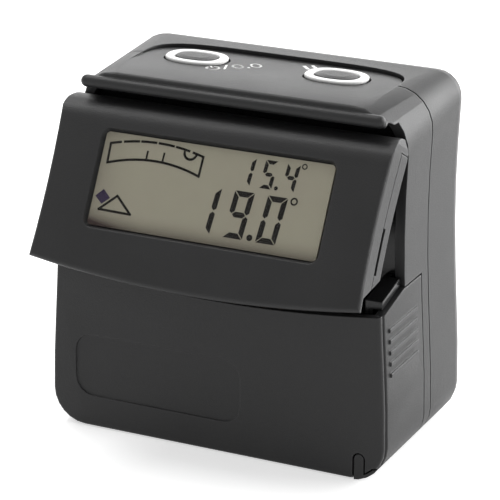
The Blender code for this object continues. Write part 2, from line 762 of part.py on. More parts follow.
def chassis_section():
    """Section of the chassis seen from the side, in Y and Z."""
    low_z = LOWER_CELL_Z - TROUGH_RADIUS * math.sin(math.radians(TROUGH_ANGLE)) - SEAM
    section = [(TROUGH_BACK_Y, low_z), (TROUGH_BACK_Y, SHELF_TOP), (BAY_REAR_Y, SHELF_TOP)]
    section += [(BAY_REAR_Y, BODY_HEIGHT), (BAY_FRONT_Y, BODY_HEIGHT)]
    corner = (BAY_FRONT_Y - SHELF_FILLET, SHELF_TOP + SHELF_FILLET)
    section += arc(corner, SHELF_FILLET, 0, -90, 5)
    section += [(CHASSIS_FRONT_Y, SHELF_TOP), (CHASSIS_FRONT_Y, SHELF_UNDER)]
    section += arc((CELL_Y, UPPER_CELL_Z), TROUGH_RADIUS, 90, -TROUGH_ANGLE, 10)
    section += arc((CELL_Y, LOWER_CELL_Z), TROUGH_RADIUS, TROUGH_ANGLE, -TROUGH_ANGLE, 8)
    section.append((CELL_Y + TROUGH_RADIUS * math.cos(math.radians(TROUGH_ANGLE)), low_z))
    return section


def cheek_section():
    """End wall of the cell tray, with its top edge sloping to the front."""
    rear_y = COVER_Y - CHEEK_REAR
    floor = COVER_WALL + CELL_ROOM
    return [
        (rear_y, floor),
        (rear_y, CHEEK_REAR_HEIGHT),
        (BAND_Y - SEAM, CHEEK_REAR_HEIGHT),
        (CHASSIS_FRONT_Y, CHEEK_FRONT_HEIGHT),
        (CHASSIS_FRONT_Y, floor),
    ]


def ear_section():
    """Arm from the bay wall to the hinge pin, rounded at its end and thicker at its root."""
    root_y = PANEL_BACK_Y + SEAM
    end = arc((HINGE_Y, HINGE_Z), EAR_RADIUS, 90, 270, 8)
    low = HINGE_Z - EAR_RADIUS
    high = HINGE_Z + EAR_RADIUS
    return end + [
        (root_y, low),
        (BAY_FRONT_Y, low - EAR_GUSSET),
        (BAY_REAR_Y - SEAM, low - EAR_GUSSET),
        (BAY_REAR_Y - SEAM, high),
    ]


def rim_section():
    """Flange over the top edge of each wing, which the side of the open panel shows."""
    rear_y = BAND_Y - SEAM
    lift = SEAM + FIT
    slope_y = COVER_FRONT_Y + WING_SLOPE_RUN
    return [
        (rear_y, CHEEK_REAR_HEIGHT),
        (CHASSIS_FRONT_Y, CHEEK_FRONT_HEIGHT),
        (CHASSIS_FRONT_Y, WING_FRONT_HEIGHT + lift),
        (slope_y, WING_HEIGHT + lift),
        (rear_y, WING_HEIGHT + lift),
    ]


def post_places():
    x = MAIN_BOARD_HALF - POST_INSET
    heights = (MAIN_BOARD_LOW + POST_LOW_INSET, MAIN_BOARD_HIGH - POST_HIGH_INSET)
    return [(side * x, z) for z in heights for side in (-1, 1)]


def chassis():
    """Bay wall, shelf, troughs and cheeks drawn from sections, then ears, tabs, bosses and posts."""
    body = prism("x", chassis_section(), -CHASSIS_HALF, CHASSIS_HALF)
    wall_low = (-BODY_WIDTH, BAY_FRONT_Y, CHEEK_REAR_HEIGHT)
    join(body, box(wall_low, (BODY_WIDTH, BAY_REAR_Y, BODY_HEIGHT)))
    for side in (-1, 1):
        join(body, prism("x", cheek_section(), *sorted((side * TRAY_HALF, side * CHASSIS_HALF))))
    keep(body, loft([outline_ring(SHELL_WALL + SEAM, y) for y in (FRONT_Y, PARTING_Y)]))
    for side in (-1, 1):
        rim_x = sorted((side * (CHASSIS_HALF - FIT), side * (half_width(WING_HEIGHT) - CHEEK_RIM_INSET)))
        join(body, prism("x", rim_section(), *rim_x))
    for side in (-1, 1):
        low_x, high_x = sorted((side * EAR_X, side * (EAR_X + EAR_THICKNESS)))
        join(body, prism("x", ear_section(), low_x, high_x))
        pin_bore_radius = PIN_RADIUS + PIN_ROOM
        cut(body, rod("x", (HINGE_Y, HINGE_Z), pin_bore_radius, low_x - OVERRUN, high_x + OVERRUN))
        centre = (side * UPPER_BOSS_X, UPPER_BOSS_Z)
        web_x = centre[0] - side * (BOSS_RADIUS + SEAM)
        web_low = centre[1] - BOSS_RADIUS
        web_high = centre[1] + BOSS_RADIUS
        low_x, high_x = sorted((web_x, web_x - side * RIB))
        join(body, box((low_x, BAY_REAR_Y - SEAM, web_low), (high_x, TAB_REAR_Y, web_high)))
        low_x, high_x = sorted((web_x - side * RIB, centre[0] + side * BOSS_RADIUS))
        join(body, box((low_x, TAB_FRONT_Y, web_low), (high_x, TAB_REAR_Y, web_high)))
        cut(body, rod("y", centre, CLEAR_RADIUS, TAB_FRONT_Y - OVERRUN, TAB_REAR_Y + OVERRUN))
        lower = (side * LOWER_BOSS_X, LOWER_BOSS_Z)
        join(body, rod("y", lower, BOSS_RADIUS, TROUGH_BACK_Y - TROUGH_WALL / 2, LOWER_JOIN_Y))
        cut(body, rod("y", lower, PILOT_RADIUS, TROUGH_BACK_Y, LOWER_JOIN_Y + OVERRUN))
    for x, z in post_places():
        root_y = BAY_REAR_Y if z > SHELF_TOP else TROUGH_BACK_Y
        join(body, rod("y", (x, z), POST_RADIUS, root_y - BAY_WALL / 2, MAIN_BOARD_Y - FIT))
        cut(body, rod("y", (x, z), PILOT_RADIUS, root_y + FIT, MAIN_BOARD_Y + OVERRUN))
    half = RIBBON_WIDTH / 2 + RIBBON_SLOT / 2
    near = (-half, BAY_FRONT_Y - OVERRUN, RIBBON_Z - RIBBON_SLOT)
    cut(body, box(near, (half, BAY_REAR_Y + OVERRUN, RIBBON_Z + RIBBON_SLOT)))
    return place(body, "chassis", "gloss_plastic")


# Cells, contact sheets and their coil springs
SPRING_WIRE = 0.00025
SPRING_TURNS = 2.5
SPRING_BASE = 0.0034
SPRING_TIP = 0.0019
SPRING_STEPS = 10
CONTACT_WIDTH = 0.0072
CONTACT_MARGIN = 0.0006
CONTACT_CORNER = 0.0014


def cell(node, z, way):
    """A cell along X, its raised tip towards way."""
    tip = way * (TRAY_HALF - CONTACT_SHEET - 2 * FIT)
    shoulder = tip - way * CELL_TIP_HEIGHT
    tail = tip - way * CELL_LENGTH
    button = CELL_TIP_DIAMETER / 2
    profile = [
        (CELL_RADIUS - CELL_EDGE, tail),
        (CELL_RADIUS, tail + way * CELL_EDGE),
        (CELL_RADIUS, shoulder - way * CELL_EDGE),
        (CELL_RADIUS - CELL_EDGE, shoulder),
        (button, shoulder),
        (button, tip),
    ]
    place(turned("x", (CELL_Y, z), profile), node, "cell_jacket")
    return tail


def coil_spring(node, z, way, tail):
    """A conical spring as one unbroken wire, from the contact sheet to the flat end of a cell."""
    start = -way * (TRAY_HALF - CONTACT_SHEET - 2 * FIT - SPRING_WIRE)
    stop = tail - way * (FIT + SPRING_WIRE)
    steps = round(SPRING_TURNS * SPRING_STEPS)
    path = []
    for k in range(steps + 1):
        share = k / steps
        radius = SPRING_BASE + (SPRING_TIP - SPRING_BASE) * share
        turn = 2 * math.pi * SPRING_TURNS * share
        x = start + (stop - start) * share
        path.append(Vector((x, CELL_Y + radius * math.cos(turn), z + radius * math.sin(turn))))
    gap = min((a - b).length for i, a in enumerate(path) for b in path[i + SPRING_STEPS // 2:])
    print(node, "least gap to itself in mm", round((gap - 2 * SPRING_WIRE) * 1000, 2))
    rings = []
    for k, point in enumerate(path):
        ahead = path[min(k + 1, steps)] - path[max(k - 1, 0)]
        ahead.normalize()
        outward = Vector((0.0, point.y - CELL_Y, point.z - z)).normalized()
        across = ahead.cross(outward).normalized()
        outward = across.cross(ahead)
        ring = circle((0.0, 0.0), SPRING_WIRE, 6)
        rings.append([point + outward * u + across * v for u, v in ring])
    place(loft(rings), node, "tinned_steel")


def contact_sheet(node, side, low, high):
    """A flat spring-steel sheet against an end wall of the tray."""
    outer = side * (TRAY_HALF - FIT)
    inner = side * (TRAY_HALF - FIT - CONTACT_SHEET)
    profile = rounded((CELL_Y, (low + high) / 2), CONTACT_WIDTH, high - low, CONTACT_CORNER)
    place(prism("x", profile, *sorted((inner, outer))), node, "tinned_steel")


def power():
    low = LOWER_CELL_Z - CELL_RADIUS + CONTACT_MARGIN
    high = UPPER_CELL_Z + CELL_RADIUS - CONTACT_MARGIN
    middle = (LOWER_CELL_Z + UPPER_CELL_Z) / 2
    contact_sheet("contact_bridge", -1, low, high)
    contact_sheet("contact_negative", 1, low, middle - CONTACT_MARGIN)
    contact_sheet("contact_positive", 1, middle + CONTACT_MARGIN, high)
    upper_tail = cell("cell_upper", UPPER_CELL_Z, 1)
    lower_tail = cell("cell_lower", LOWER_CELL_Z, -1)
    coil_spring("spring_upper", UPPER_CELL_Z, 1, upper_tail)
    coil_spring("spring_lower", LOWER_CELL_Z, -1, lower_tail)


# Main board and what it carries
CORNER = 0.0010
BOARD_HEAD_RADIUS = 0.0017
BOARD_HEAD_HEIGHT = 0.0012
BOARD_THREAD = 0.0025
SENSOR_SIZE = 0.0090
SENSOR_DEPTH = 0.0034
SENSOR_RISE = 0.0218
CHIP_SIZE = 0.0100
CHIP_DEPTH = 0.0014
CHIP_RISE = 0.0088
CHIP_X = -0.0060
CRYSTAL_LENGTH = 0.0110
CRYSTAL_WIDTH = 0.0045
CRYSTAL_DEPTH = 0.0035
CRYSTAL_X = 0.0105
CAPACITOR_RADIUS = 0.0025
CAPACITOR_LENGTH = 0.0055
CAPACITOR_X = 0.0120
SOCKET_HEIGHT = 0.0030
SOCKET_DEPTH = 0.0018
HEADER_WIDTH = 0.0120
HEADER_DEPTH = 0.0024

MAIN_BOARD_REAR_Y = MAIN_BOARD_Y + BOARD_DEPTH
SENSOR_Z = MAIN_BOARD_LOW + SENSOR_RISE
CHIP_Z = MAIN_BOARD_LOW + CHIP_RISE


def main_board():
    centre = (0.0, (MAIN_BOARD_LOW + MAIN_BOARD_HIGH) / 2)
    profile = rounded(centre, 2 * MAIN_BOARD_HALF, MAIN_BOARD_HIGH - MAIN_BOARD_LOW, CORNER, 2)
    board = prism("y", profile, MAIN_BOARD_Y, MAIN_BOARD_REAR_Y)
    for centre in post_places():
        cut(board, rod("y", centre, CLEAR_RADIUS, MAIN_BOARD_Y - OVERRUN, MAIN_BOARD_REAR_Y + OVERRUN))
    place(board, "main_board", "board")
    names = ("lower_left", "lower_right", "upper_left", "upper_right")
    for name, centre in zip(names, post_places()):
        screw(
            "board_screw_" + name,
            centre,
            MAIN_BOARD_REAR_Y + FIT,
            MAIN_BOARD_Y - BOARD_THREAD,
            SHANK_RADIUS,
            BOARD_HEAD_RADIUS,
            BOARD_HEAD_HEIGHT,
        )


def board_part(node, finish, centre, width, height, depth, edge, chamfer):
    """A component on the rear face of the main board, with its far edges broken."""
    near = MAIN_BOARD_REAR_Y + FIT
    far = near + depth
    rings = []
    for y, inset in ((near, 0.0), (far - chamfer, 0.0), (far, chamfer)):
        profile = rounded(centre, width - 2 * inset, height - 2 * inset, edge, 2)
        rings.append([Vector((x, y, z)) for x, z in profile])
    place(loft(rings), node, finish)


def board_parts():
    size = SENSOR_SIZE
    board_part("tilt_sensor", "tinned_steel", (0.0, SENSOR_Z), size, size, SENSOR_DEPTH, CORNER, FIT)
    board_part("processor", "chip", (CHIP_X, CHIP_Z), CHIP_SIZE, CHIP_SIZE, CHIP_DEPTH, FIT, FIT)
    crystal_edge = CRYSTAL_WIDTH / 2 - FIT
    board_part(
        "crystal",
        "tinned_steel",
        (CRYSTAL_X, CHIP_Z),
        CRYSTAL_LENGTH,
        CRYSTAL_WIDTH,
        CRYSTAL_DEPTH,
        crystal_edge,
        FIT,
    )
    near = MAIN_BOARD_REAR_Y + FIT
    far = near + CAPACITOR_LENGTH
    profile = [
        (CAPACITOR_RADIUS, near),
        (CAPACITOR_RADIUS, near + CAPACITOR_RADIUS / 4),
        (CAPACITOR_RADIUS - FIT, near + CAPACITOR_RADIUS / 2),
        (CAPACITOR_RADIUS, near + CAPACITOR_RADIUS),
        (CAPACITOR_RADIUS, far - FIT),
        (CAPACITOR_RADIUS - FIT, far),
    ]
    place(turned("y", (CAPACITOR_X, SENSOR_Z), profile), "capacitor", "chip")
    half = RIBBON_WIDTH / 2 + CORNER
    socket = box(
        (-half, MAIN_BOARD_Y - FIT - SOCKET_DEPTH, RIBBON_Z - SOCKET_HEIGHT / 2),
        (half, MAIN_BOARD_Y - FIT, RIBBON_Z + SOCKET_HEIGHT / 2),
    )
    place(socket, "ribbon_socket", "white_plastic")
    header = box(
        (-HEADER_WIDTH / 2, MAIN_BOARD_Y, MAIN_BOARD_HIGH + FIT),
        (HEADER_WIDTH / 2, MAIN_BOARD_Y + HEADER_DEPTH, KEYPAD_BOTTOM - FIT),
    )
    place(header, "board_header", "chip")


def keypad():
    """The keypad board under the hood, with a switch and a capped plunger for each button."""
    centre = (KEYPAD_X, BUTTON_Y)
    board = prism("z", rounded(centre, KEYPAD_WIDTH, KEYPAD_REACH, CORNER, 2), KEYPAD_BOTTOM, KEYPAD_TOP)
    screw_place = (KEYPAD_X, KEYPAD_BOSS_Y)
    cut(board, rod("z", screw_place, CLEAR_RADIUS, KEYPAD_BOTTOM - OVERRUN, KEYPAD_TOP + OVERRUN))
    place(board, "keypad_board", "board")
    for name, middle in BUTTONS:
        square = rounded(middle, SWITCH_SIZE, SWITCH_SIZE, CORNER / 2, 2)
        housing = prism("z", square, SWITCH_BOTTOM, SWITCH_TOP)
        bore = rod("z", middle, PLUNGER_RADIUS + FIT, SWITCH_BOTTOM + SWITCH_FLOOR, SWITCH_TOP + OVERRUN)
        cut(housing, bore)
        place(housing, name + "_switch", "chip")
        carrier = carriers[name]
        plunger = rod("z", middle, PLUNGER_RADIUS, PLUNGER_TOP - PLUNGER_LENGTH, PLUNGER_TOP)
        place(plunger, name + "_plunger", "white_plastic", carrier)
        button_cap(name, middle, carrier)
    screw_z = KEYPAD_BOTTOM - FIT
    head = [
        (BOARD_HEAD_RADIUS * 0.72, screw_z - BOARD_HEAD_HEIGHT),
        (BOARD_HEAD_RADIUS, screw_z - BOARD_HEAD_HEIGHT / 2),
        (BOARD_HEAD_RADIUS, screw_z),
        (SHANK_RADIUS, screw_z),
        (SHANK_RADIUS, KEYPAD_TOP + BOARD_THREAD),
        (SHANK_RADIUS / 2, KEYPAD_TOP + BOARD_THREAD + SHANK_RADIUS),
    ]
    place(turned("z", screw_place, head, SMALL_SIDES), "keypad_screw", "zinc_screw")


def button_cap(name, middle, carrier):
    """A flanged oval cap with a raised middle, and the white ring that sits round that middle."""
    stem = 2 * STEM_RADIUS
    flange_width = BUTTON_WIDTH + 2 * FLANGE_REACH
    flange_height = BUTTON_HEIGHT + 2 * FLANGE_REACH
    seat = RING_BOTTOM
    levels = [
        (stem, stem, STEM_BOTTOM),
        (stem, stem, FLANGE_BOTTOM),
        (flange_width, flange_height, FLANGE_BOTTOM),
        (flange_width, flange_height, FLANGE_TOP),
        (BUTTON_WIDTH, BUTTON_HEIGHT, FLANGE_TOP),
        (BUTTON_WIDTH, BUTTON_HEIGHT, seat),
        (CROWN_WIDTH, CROWN_HEIGHT, seat),
        (CROWN_WIDTH, CROWN_HEIGHT, RING_TOP - FIT),
        (CROWN_WIDTH - 2 * FIT, CROWN_HEIGHT - 2 * FIT, RING_TOP),
        (CROWN_WIDTH * 0.6, CROWN_HEIGHT * 0.6, RING_TOP + CROWN_DOME),
    ]
    rings = [[Vector((x, y, z)) for x, y in oval(middle, w, h)] for w, h, z in levels]
    place(loft(rings), name + "_button", "black_plastic", carrier)
    outer = (BUTTON_WIDTH, BUTTON_HEIGHT)
    inner = (CROWN_WIDTH + 2 * FIT, CROWN_HEIGHT + 2 * FIT)
    hoop = [
        (*outer, RING_BOTTOM),
        (*outer, RING_TOP - FIT),
        (outer[0] - 2 * FIT, outer[1] - 2 * FIT, RING_TOP),
        (inner[0] + 2 * FIT, inner[1] + 2 * FIT, RING_TOP),
        (*inner, RING_TOP - FIT),
        (*inner, RING_BOTTOM),
    ]
    rings = [[Vector((x, y, z)) for x, y in oval(middle, w, h)] for w, h, z in hoop]
    place(loft(rings, ring_closes=True), name + "_ring", "white_plastic", carrier)


# Display panel, shut
PANEL_FLOOR = 0.0012
HOLLOW_ROOM = 0.0009
GLASS_LOW_MARGIN = 0.0004
LENS_THICKNESS = 0.0008
GLASS_THICKNESS = 0.0011
STACK_GAP = 0.0001
GLASS_MARGIN = 0.0014
BOARD_SHEET = 0.0006
STRIP_WIDTH = 0.0014
DISPLAY_BOARD_MARGIN = 0.0029
CAVITY_WALL = 0.0026
STEP_DROP = 0.0023
EAR_ROOM = 0.0003
EAR_SWING = 0.0042
EAR_SWING_LOW = 0.0019
PANEL_BOSS_INSET = 0.0047
PANEL_BOSS_RISE = 0.0018
PANEL_BOSS_RADIUS = 0.0018
PANEL_SCREW_RADIUS = 0.0006
PANEL_HEAD_RADIUS = 0.0013
PANEL_HEAD_HEIGHT = 0.0008
PANEL_THREAD = 0.0018
PIN_INNER_INSET = 0.0057
PIN_OUTER_INSET = 0.0019
PANEL_RIBBON_DROP = 0.0078
SIDE_SLOT_RISE = 0.0040
SIDE_SLOT_LENGTH = 0.0072
SIDE_SLOT_WIDTH = 0.0009
SIDE_SLOT_DEPTH = 0.0007

LENS_Y = FACE_Y + BEZEL_FRONT_WALL + STACK_GAP
GLASS_Y = LENS_Y + LENS_THICKNESS + STACK_GAP
PANEL_INNER_Y = PANEL_BACK_Y - PANEL_BACK_WALL
DISPLAY_BOARD_Y = PANEL_INNER_Y - SEAM - BOARD_SHEET
BACK_SPLIT_Y = SPLIT_Y + FIT
DISPLAY_BOARD_HALF = WINDOW_WIDTH / 2 + DISPLAY_BOARD_MARGIN
CAVITY_HALF = BODY_WIDTH / 2 - CAVITY_WALL
PANEL_BOSS_X = BODY_WIDTH / 2 - PANEL_BOSS_INSET
PIN_INNER_X = BODY_WIDTH / 2 - PIN_INNER_INSET
PIN_OUTER_X = BODY_WIDTH / 2 - PIN_OUTER_INSET
SIDE_SLOT_LOW = LIP_Z + SIDE_SLOT_RISE
SHOULDER_Y = FACE_Y + SHOULDER_RADIUS
SHOULDER_Z = HINGE_Z + SHOULDER_RISE
PANEL_TOP = SHOULDER_Z + SHOULDER_RADIUS
STEP_Z = PANEL_TOP - STEP_DROP
CHAMFER_Z = LIP_Z + CHAMFER_RISE
GLASS_TOP = WINDOW_TOP + GLASS_MARGIN
HOLLOW_TOP = GLASS_TOP + HOLLOW_ROOM


def chamfer_z(depth):
    """Height of the chamfered lower back at a depth behind the face."""
    share = (depth - PANEL_LIP) / (PANEL_DEPTH - PANEL_LIP)
    return LIP_Z + CHAMFER_RISE * share


def hollow(near_y, far_y, top_z):
    """Cutter for the inside of the panel, its floor following the chamfer."""
    floor = [(y, chamfer_z(y - FACE_Y) + PANEL_FLOOR) for y in (near_y, far_y)]
    return prism("x", floor + [(far_y, top_z), (near_y, top_z)], -CAVITY_HALF, CAVITY_HALF)


def stop_points():
    """Ends of the face that meets the side bands when the panel is out, in the shut panel."""
    stop_y = BAND_Y - SEAM
    swing = math.cos(OPEN_ANGLE), math.sin(OPEN_ANGLE)
    reach = (stop_y - HINGE_Y) / swing[0]
    slope = swing[1] / swing[0]
    top = (HINGE_Y + reach - slope * (PANEL_TOP - HINGE_Z), PANEL_TOP)
    back = (PANEL_BACK_Y, HINGE_Z + (HINGE_Y + reach - PANEL_BACK_Y) / slope)
    return top, back


def bezel_section():
    stop_top, stop_back = stop_points()
    low = PLATE_TOP - ARC_RISE - OVERRUN
    section = [(FACE_Y, low), (FACE_Y + PANEL_LIP, low), (FACE_Y + PANEL_LIP, LIP_Z)]
    section += [(SPLIT_Y, chamfer_z(BEZEL_DEPTH)), (SPLIT_Y, STEP_Z), (PANEL_BACK_Y, STEP_Z)]
    section += [stop_back, stop_top]
    section += arc((SHOULDER_Y, SHOULDER_Z), SHOULDER_RADIUS, 90, 180, 8)
    return section


def back_section():
    return [
        (BACK_SPLIT_Y, chamfer_z(BEZEL_DEPTH + FIT)),
        (PANEL_BACK_Y, CHAMFER_Z),
        (PANEL_BACK_Y, STEP_Z - FIT),
        (BACK_SPLIT_Y, STEP_Z - FIT),
    ]


def panel_outline(inset):
    """The panel's outline in X and Z: the body's sides, and the arc along its lower edge."""
    rise = PANEL_GAP + inset
    low_half = half_width(PLATE_TOP) - inset
    steps = 14
    lower = [(-low_half + 2 * low_half * k / steps) for k in range(steps + 1)]
    points = [(x, arc_top(x, rise)) for x in lower]
    top = BODY_HEIGHT - PANEL_CORNER
    sides = 6
    heights = [PLATE_TOP + (top - PLATE_TOP) * k / sides for k in range(1, sides + 1)]
    right = [(half_width(z) - inset, z) for z in heights]
    centre = (BODY_WIDTH / 2 - PANEL_CORNER, top)
    corner = arc(centre, PANEL_CORNER - inset, 0, 90, CORNER_STEPS)[1:]
    right += [(x - waist(z), z) for x, z in corner]
    return points + right + [(-x, z) for x, z in reversed(right)]


def panel_block():
    """The panel's outline drawn from front to rear, its front edges rounded."""
    turns = [math.radians(90 * k / EDGE_STEPS) for k in range(EDGE_STEPS + 1)]
    rings = []
    for turn in turns:
        y = FACE_Y + PANEL_EDGE * (1 - math.cos(turn))
        rings.append([Vector((x, y, z)) for x, z in panel_outline(PANEL_EDGE * (1 - math.sin(turn)))])
    rings.append([Vector((x, BAND_Y, z)) for x, z in panel_outline(0.0)])
    return loft(rings)


def panel_boss_places():
    z = CHAMFER_Z + PANEL_BOSS_RISE + PANEL_BOSS_RADIUS
    return [(side * PANEL_BOSS_X, z) for side in (-1, 1)]


def pin_bore(radius, inner_x, outer_x, side):
    return rod("x", (HINGE_Y, HINGE_Z), radius, *sorted((side * inner_x, side * outer_x)))


def display_bezel():
    frame = prism("x", bezel_section(), -BODY_WIDTH / 2, BODY_WIDTH / 2)
    keep(frame, panel_block())
    inner_y = FACE_Y + BEZEL_FRONT_WALL
    cut(frame, hollow(inner_y, SPLIT_Y + OVERRUN, HOLLOW_TOP))
    middle = (0.0, (WINDOW_TOP + WINDOW_BOTTOM) / 2)
    rings = []
    for y, grow in (
        (FACE_Y - OVERRUN, WINDOW_BEVEL),
        (FACE_Y, WINDOW_BEVEL),
        (inner_y - STACK_GAP, 0.0),
        (inner_y + OVERRUN, 0.0),
    ):
        radius = WINDOW_RADIUS + grow / 2
        profile = rounded(middle, WINDOW_WIDTH + 2 * grow, WINDOW_HEIGHT + 2 * grow, radius, 4)
        rings.append([Vector((x, y, z)) for x, z in profile])
    cut(frame, loft(rings))
    for centre in panel_boss_places():
        join(frame, rod("y", centre, PANEL_BOSS_RADIUS, inner_y - SEAM, SPLIT_Y, SMALL_SIDES))
        bore = PANEL_SCREW_RADIUS + FIT
        cut(frame, rod("y", centre, bore, inner_y + SEAM, SPLIT_Y + OVERRUN, SMALL_SIDES))
    for side in (-1, 1):
        cut(frame, pin_bore(PIN_RADIUS + FIT, PIN_INNER_X, PIN_OUTER_X + FIT, side))
    return place(frame, "display_bezel", "black_plastic", carriers["display"])


def display_back():
    cover = prism("x", back_section(), -BODY_WIDTH / 2, BODY_WIDTH / 2)
    keep(cover, panel_block())
    cut(cover, hollow(BACK_SPLIT_Y - OVERRUN, PANEL_INNER_Y, HOLLOW_TOP))
    for side in (-1, 1):
        outer = sorted((side * (half_width(SIDE_SLOT_LOW) - SIDE_SLOT_DEPTH), side * BODY_WIDTH))
        near = (outer[0], BACK_SPLIT_Y - OVERRUN, SIDE_SLOT_LOW)
        far = (outer[1], SPLIT_Y + SIDE_SLOT_WIDTH, SIDE_SLOT_LOW + SIDE_SLOT_LENGTH)
        cut(cover, box(near, far))
    for centre in panel_boss_places():
        join(cover, rod("y", centre, PANEL_BOSS_RADIUS, BACK_SPLIT_Y, PANEL_INNER_Y + FIT, SMALL_SIDES))
        seat_y = PANEL_BACK_Y - PANEL_HEAD_HEIGHT - SEAM
        bore = PANEL_SCREW_RADIUS + FIT
        well = PANEL_HEAD_RADIUS + FIT
        cut(
            cover,
            rod("y", centre, bore, BACK_SPLIT_Y - OVERRUN, seat_y + OVERRUN, SMALL_SIDES),
            rod("y", centre, well, seat_y, PANEL_BACK_Y + OVERRUN, SMALL_SIDES),
        )
    for side in (-1, 1):
        slot_x = sorted((side * (EAR_X - EAR_ROOM), side * (EAR_X + EAR_THICKNESS + EAR_ROOM)))
        slot_low = HINGE_Z - EAR_SWING_LOW
        slot_high = HINGE_Z + EAR_SWING
        far_y = PANEL_BACK_Y + OVERRUN
        cut(
            cover,
            box((slot_x[0], BACK_SPLIT_Y - OVERRUN, slot_low), (slot_x[1], far_y, slot_high)),
            pin_bore(PIN_RADIUS + FIT, PIN_INNER_X, PIN_OUTER_X + FIT, side),
        )
    half = RIBBON_WIDTH / 2 + SEAM
    ribbon_z = HINGE_Z - PANEL_RIBBON_DROP
    cut(
        cover,
        box(
            (-half, PANEL_INNER_Y - OVERRUN, ribbon_z - RIBBON_SLOT / 2),
            (half, PANEL_BACK_Y + OVERRUN, ribbon_z + RIBBON_SLOT / 2),
        ),
    )
    return place(cover, "display_back", "black_plastic", carriers["display"])


def sheet(low_z, high_z, near_y, thickness, radius, steps):
    """A round-cornered sheet of the window's width behind the front wall."""
    middle = (0.0, (low_z + high_z) / 2)
    profile = rounded(middle, WINDOW_WIDTH + 2 * GLASS_MARGIN, high_z - low_z, radius, steps)
    return prism("y", profile, near_y, near_y + thickness)


def display_stack():
    """Lens, glass, conductive strips and display board, from front to rear."""
    carrier = carriers["display"]
    lens_low = WINDOW_BOTTOM - GLASS_MARGIN + STACK_GAP
    lens = sheet(lens_low, GLASS_TOP, LENS_Y, LENS_THICKNESS, WINDOW_RADIUS, 3)
    place(lens, "display_lens", "clear_plastic", carrier)
    glass_low = WINDOW_BOTTOM - GLASS_LOW_MARGIN
    glass = sheet(glass_low, GLASS_TOP, GLASS_Y, GLASS_THICKNESS, FIT, 1)
    place(glass, "lcd_glass", "lcd", carrier)
    board_low = chamfer_z(DISPLAY_BOARD_Y + BOARD_SHEET - FACE_Y) + PANEL_FLOOR + FIT
    half = WINDOW_WIDTH / 2
    near = GLASS_Y + GLASS_THICKNESS + STACK_GAP
    far = DISPLAY_BOARD_Y - STACK_GAP
    for name, low in (("lower", board_low), ("upper", GLASS_TOP - STRIP_WIDTH)):
        strip = box((-half, near, low), (half, far, low + STRIP_WIDTH))
        place(strip, "display_strip_" + name, "strip_rubber", carrier)
    high = (DISPLAY_BOARD_HALF, DISPLAY_BOARD_Y + BOARD_SHEET, GLASS_TOP)
    place(box((-DISPLAY_BOARD_HALF, DISPLAY_BOARD_Y, board_low), high), "display_board", "board", carrier)


def hinge_pins():
    for side, name in ((-1, "left"), (1, "right")):
        inner, outer = side * PIN_INNER_X, side * PIN_OUTER_X
        profile = [
            (PIN_RADIUS - FIT, inner),
            (PIN_RADIUS, inner + side * FIT),
            (PIN_RADIUS, outer - side * FIT),
            (PIN_RADIUS - FIT, outer),
        ]
        pin = turned("x", (HINGE_Y, HINGE_Z), profile)
        place(pin, "hinge_pin_" + name, "tinned_steel", carriers["display"])


def panel_screws():
    for (x, z), name in zip(panel_boss_places(), ("left", "right")):
        seat_y = PANEL_BACK_Y - PANEL_HEAD_HEIGHT - SEAM + STACK_GAP
        profile = [
            (PANEL_SCREW_RADIUS / 2, SPLIT_Y - PANEL_THREAD),
            (PANEL_SCREW_RADIUS, SPLIT_Y - PANEL_THREAD + PANEL_SCREW_RADIUS),
            (PANEL_SCREW_RADIUS, seat_y),
            (PANEL_HEAD_RADIUS, seat_y),
            (PANEL_HEAD_RADIUS, seat_y + PANEL_HEAD_HEIGHT * 0.6),
            (PANEL_HEAD_RADIUS * 0.7, seat_y + PANEL_HEAD_HEIGHT),
        ]
        body = turned("y", (x, z), profile, SMALL_SIDES)
        place(body, "display_screw_" + name, "zinc_screw", carriers["display"])


# Ribbon from the panel to the main board, in the shape that it takes with the panel out
RIBBON_THICKNESS = 0.0002
RIBBON_STEPS = 14
RIBBON_PULL = 0.0035


def ribbon():
    swing_y = DISPLAY_BOARD_Y + BOARD_SHEET + STACK_GAP - HINGE_Y
    swing_z = -PANEL_RIBBON_DROP
    c, s = math.cos(OPEN_ANGLE), math.sin(OPEN_ANGLE)
    start = Vector((HINGE_Y + swing_y * c + swing_z * s, HINGE_Z - swing_y * s + swing_z * c))
    leave = Vector((c, -s))
    stop = Vector((MAIN_BOARD_Y - FIT - SOCKET_DEPTH - STACK_GAP, RIBBON_Z))
    arrive = Vector((-1.0, 0.0))
    bends = [start, start + leave * RIBBON_PULL, stop + arrive * RIBBON_PULL * 2, stop]
    line = []
    for k in range(RIBBON_STEPS + 1):
        t = k / RIBBON_STEPS
        weights = ((1 - t) ** 3, 3 * t * (1 - t) ** 2, 3 * t * t * (1 - t), t**3)
        line.append(sum((bend * weight for bend, weight in zip(bends, weights)), Vector((0.0, 0.0))))
    upper, lower = [], []
    for k, point in enumerate(line):
        ahead = line[min(k + 1, RIBBON_STEPS)] - line[max(k - 1, 0)]
        ahead.normalize()
        normal = Vector((-ahead.y, ahead.x)) * RIBBON_THICKNESS / 2
        upper.append(tuple(point + normal))
        lower.append(tuple(point - normal))
    film = prism("x", upper + lower[::-1], -RIBBON_WIDTH / 2, RIBBON_WIDTH / 2)
    place(film, "display_ribbon", "ribbon_film")


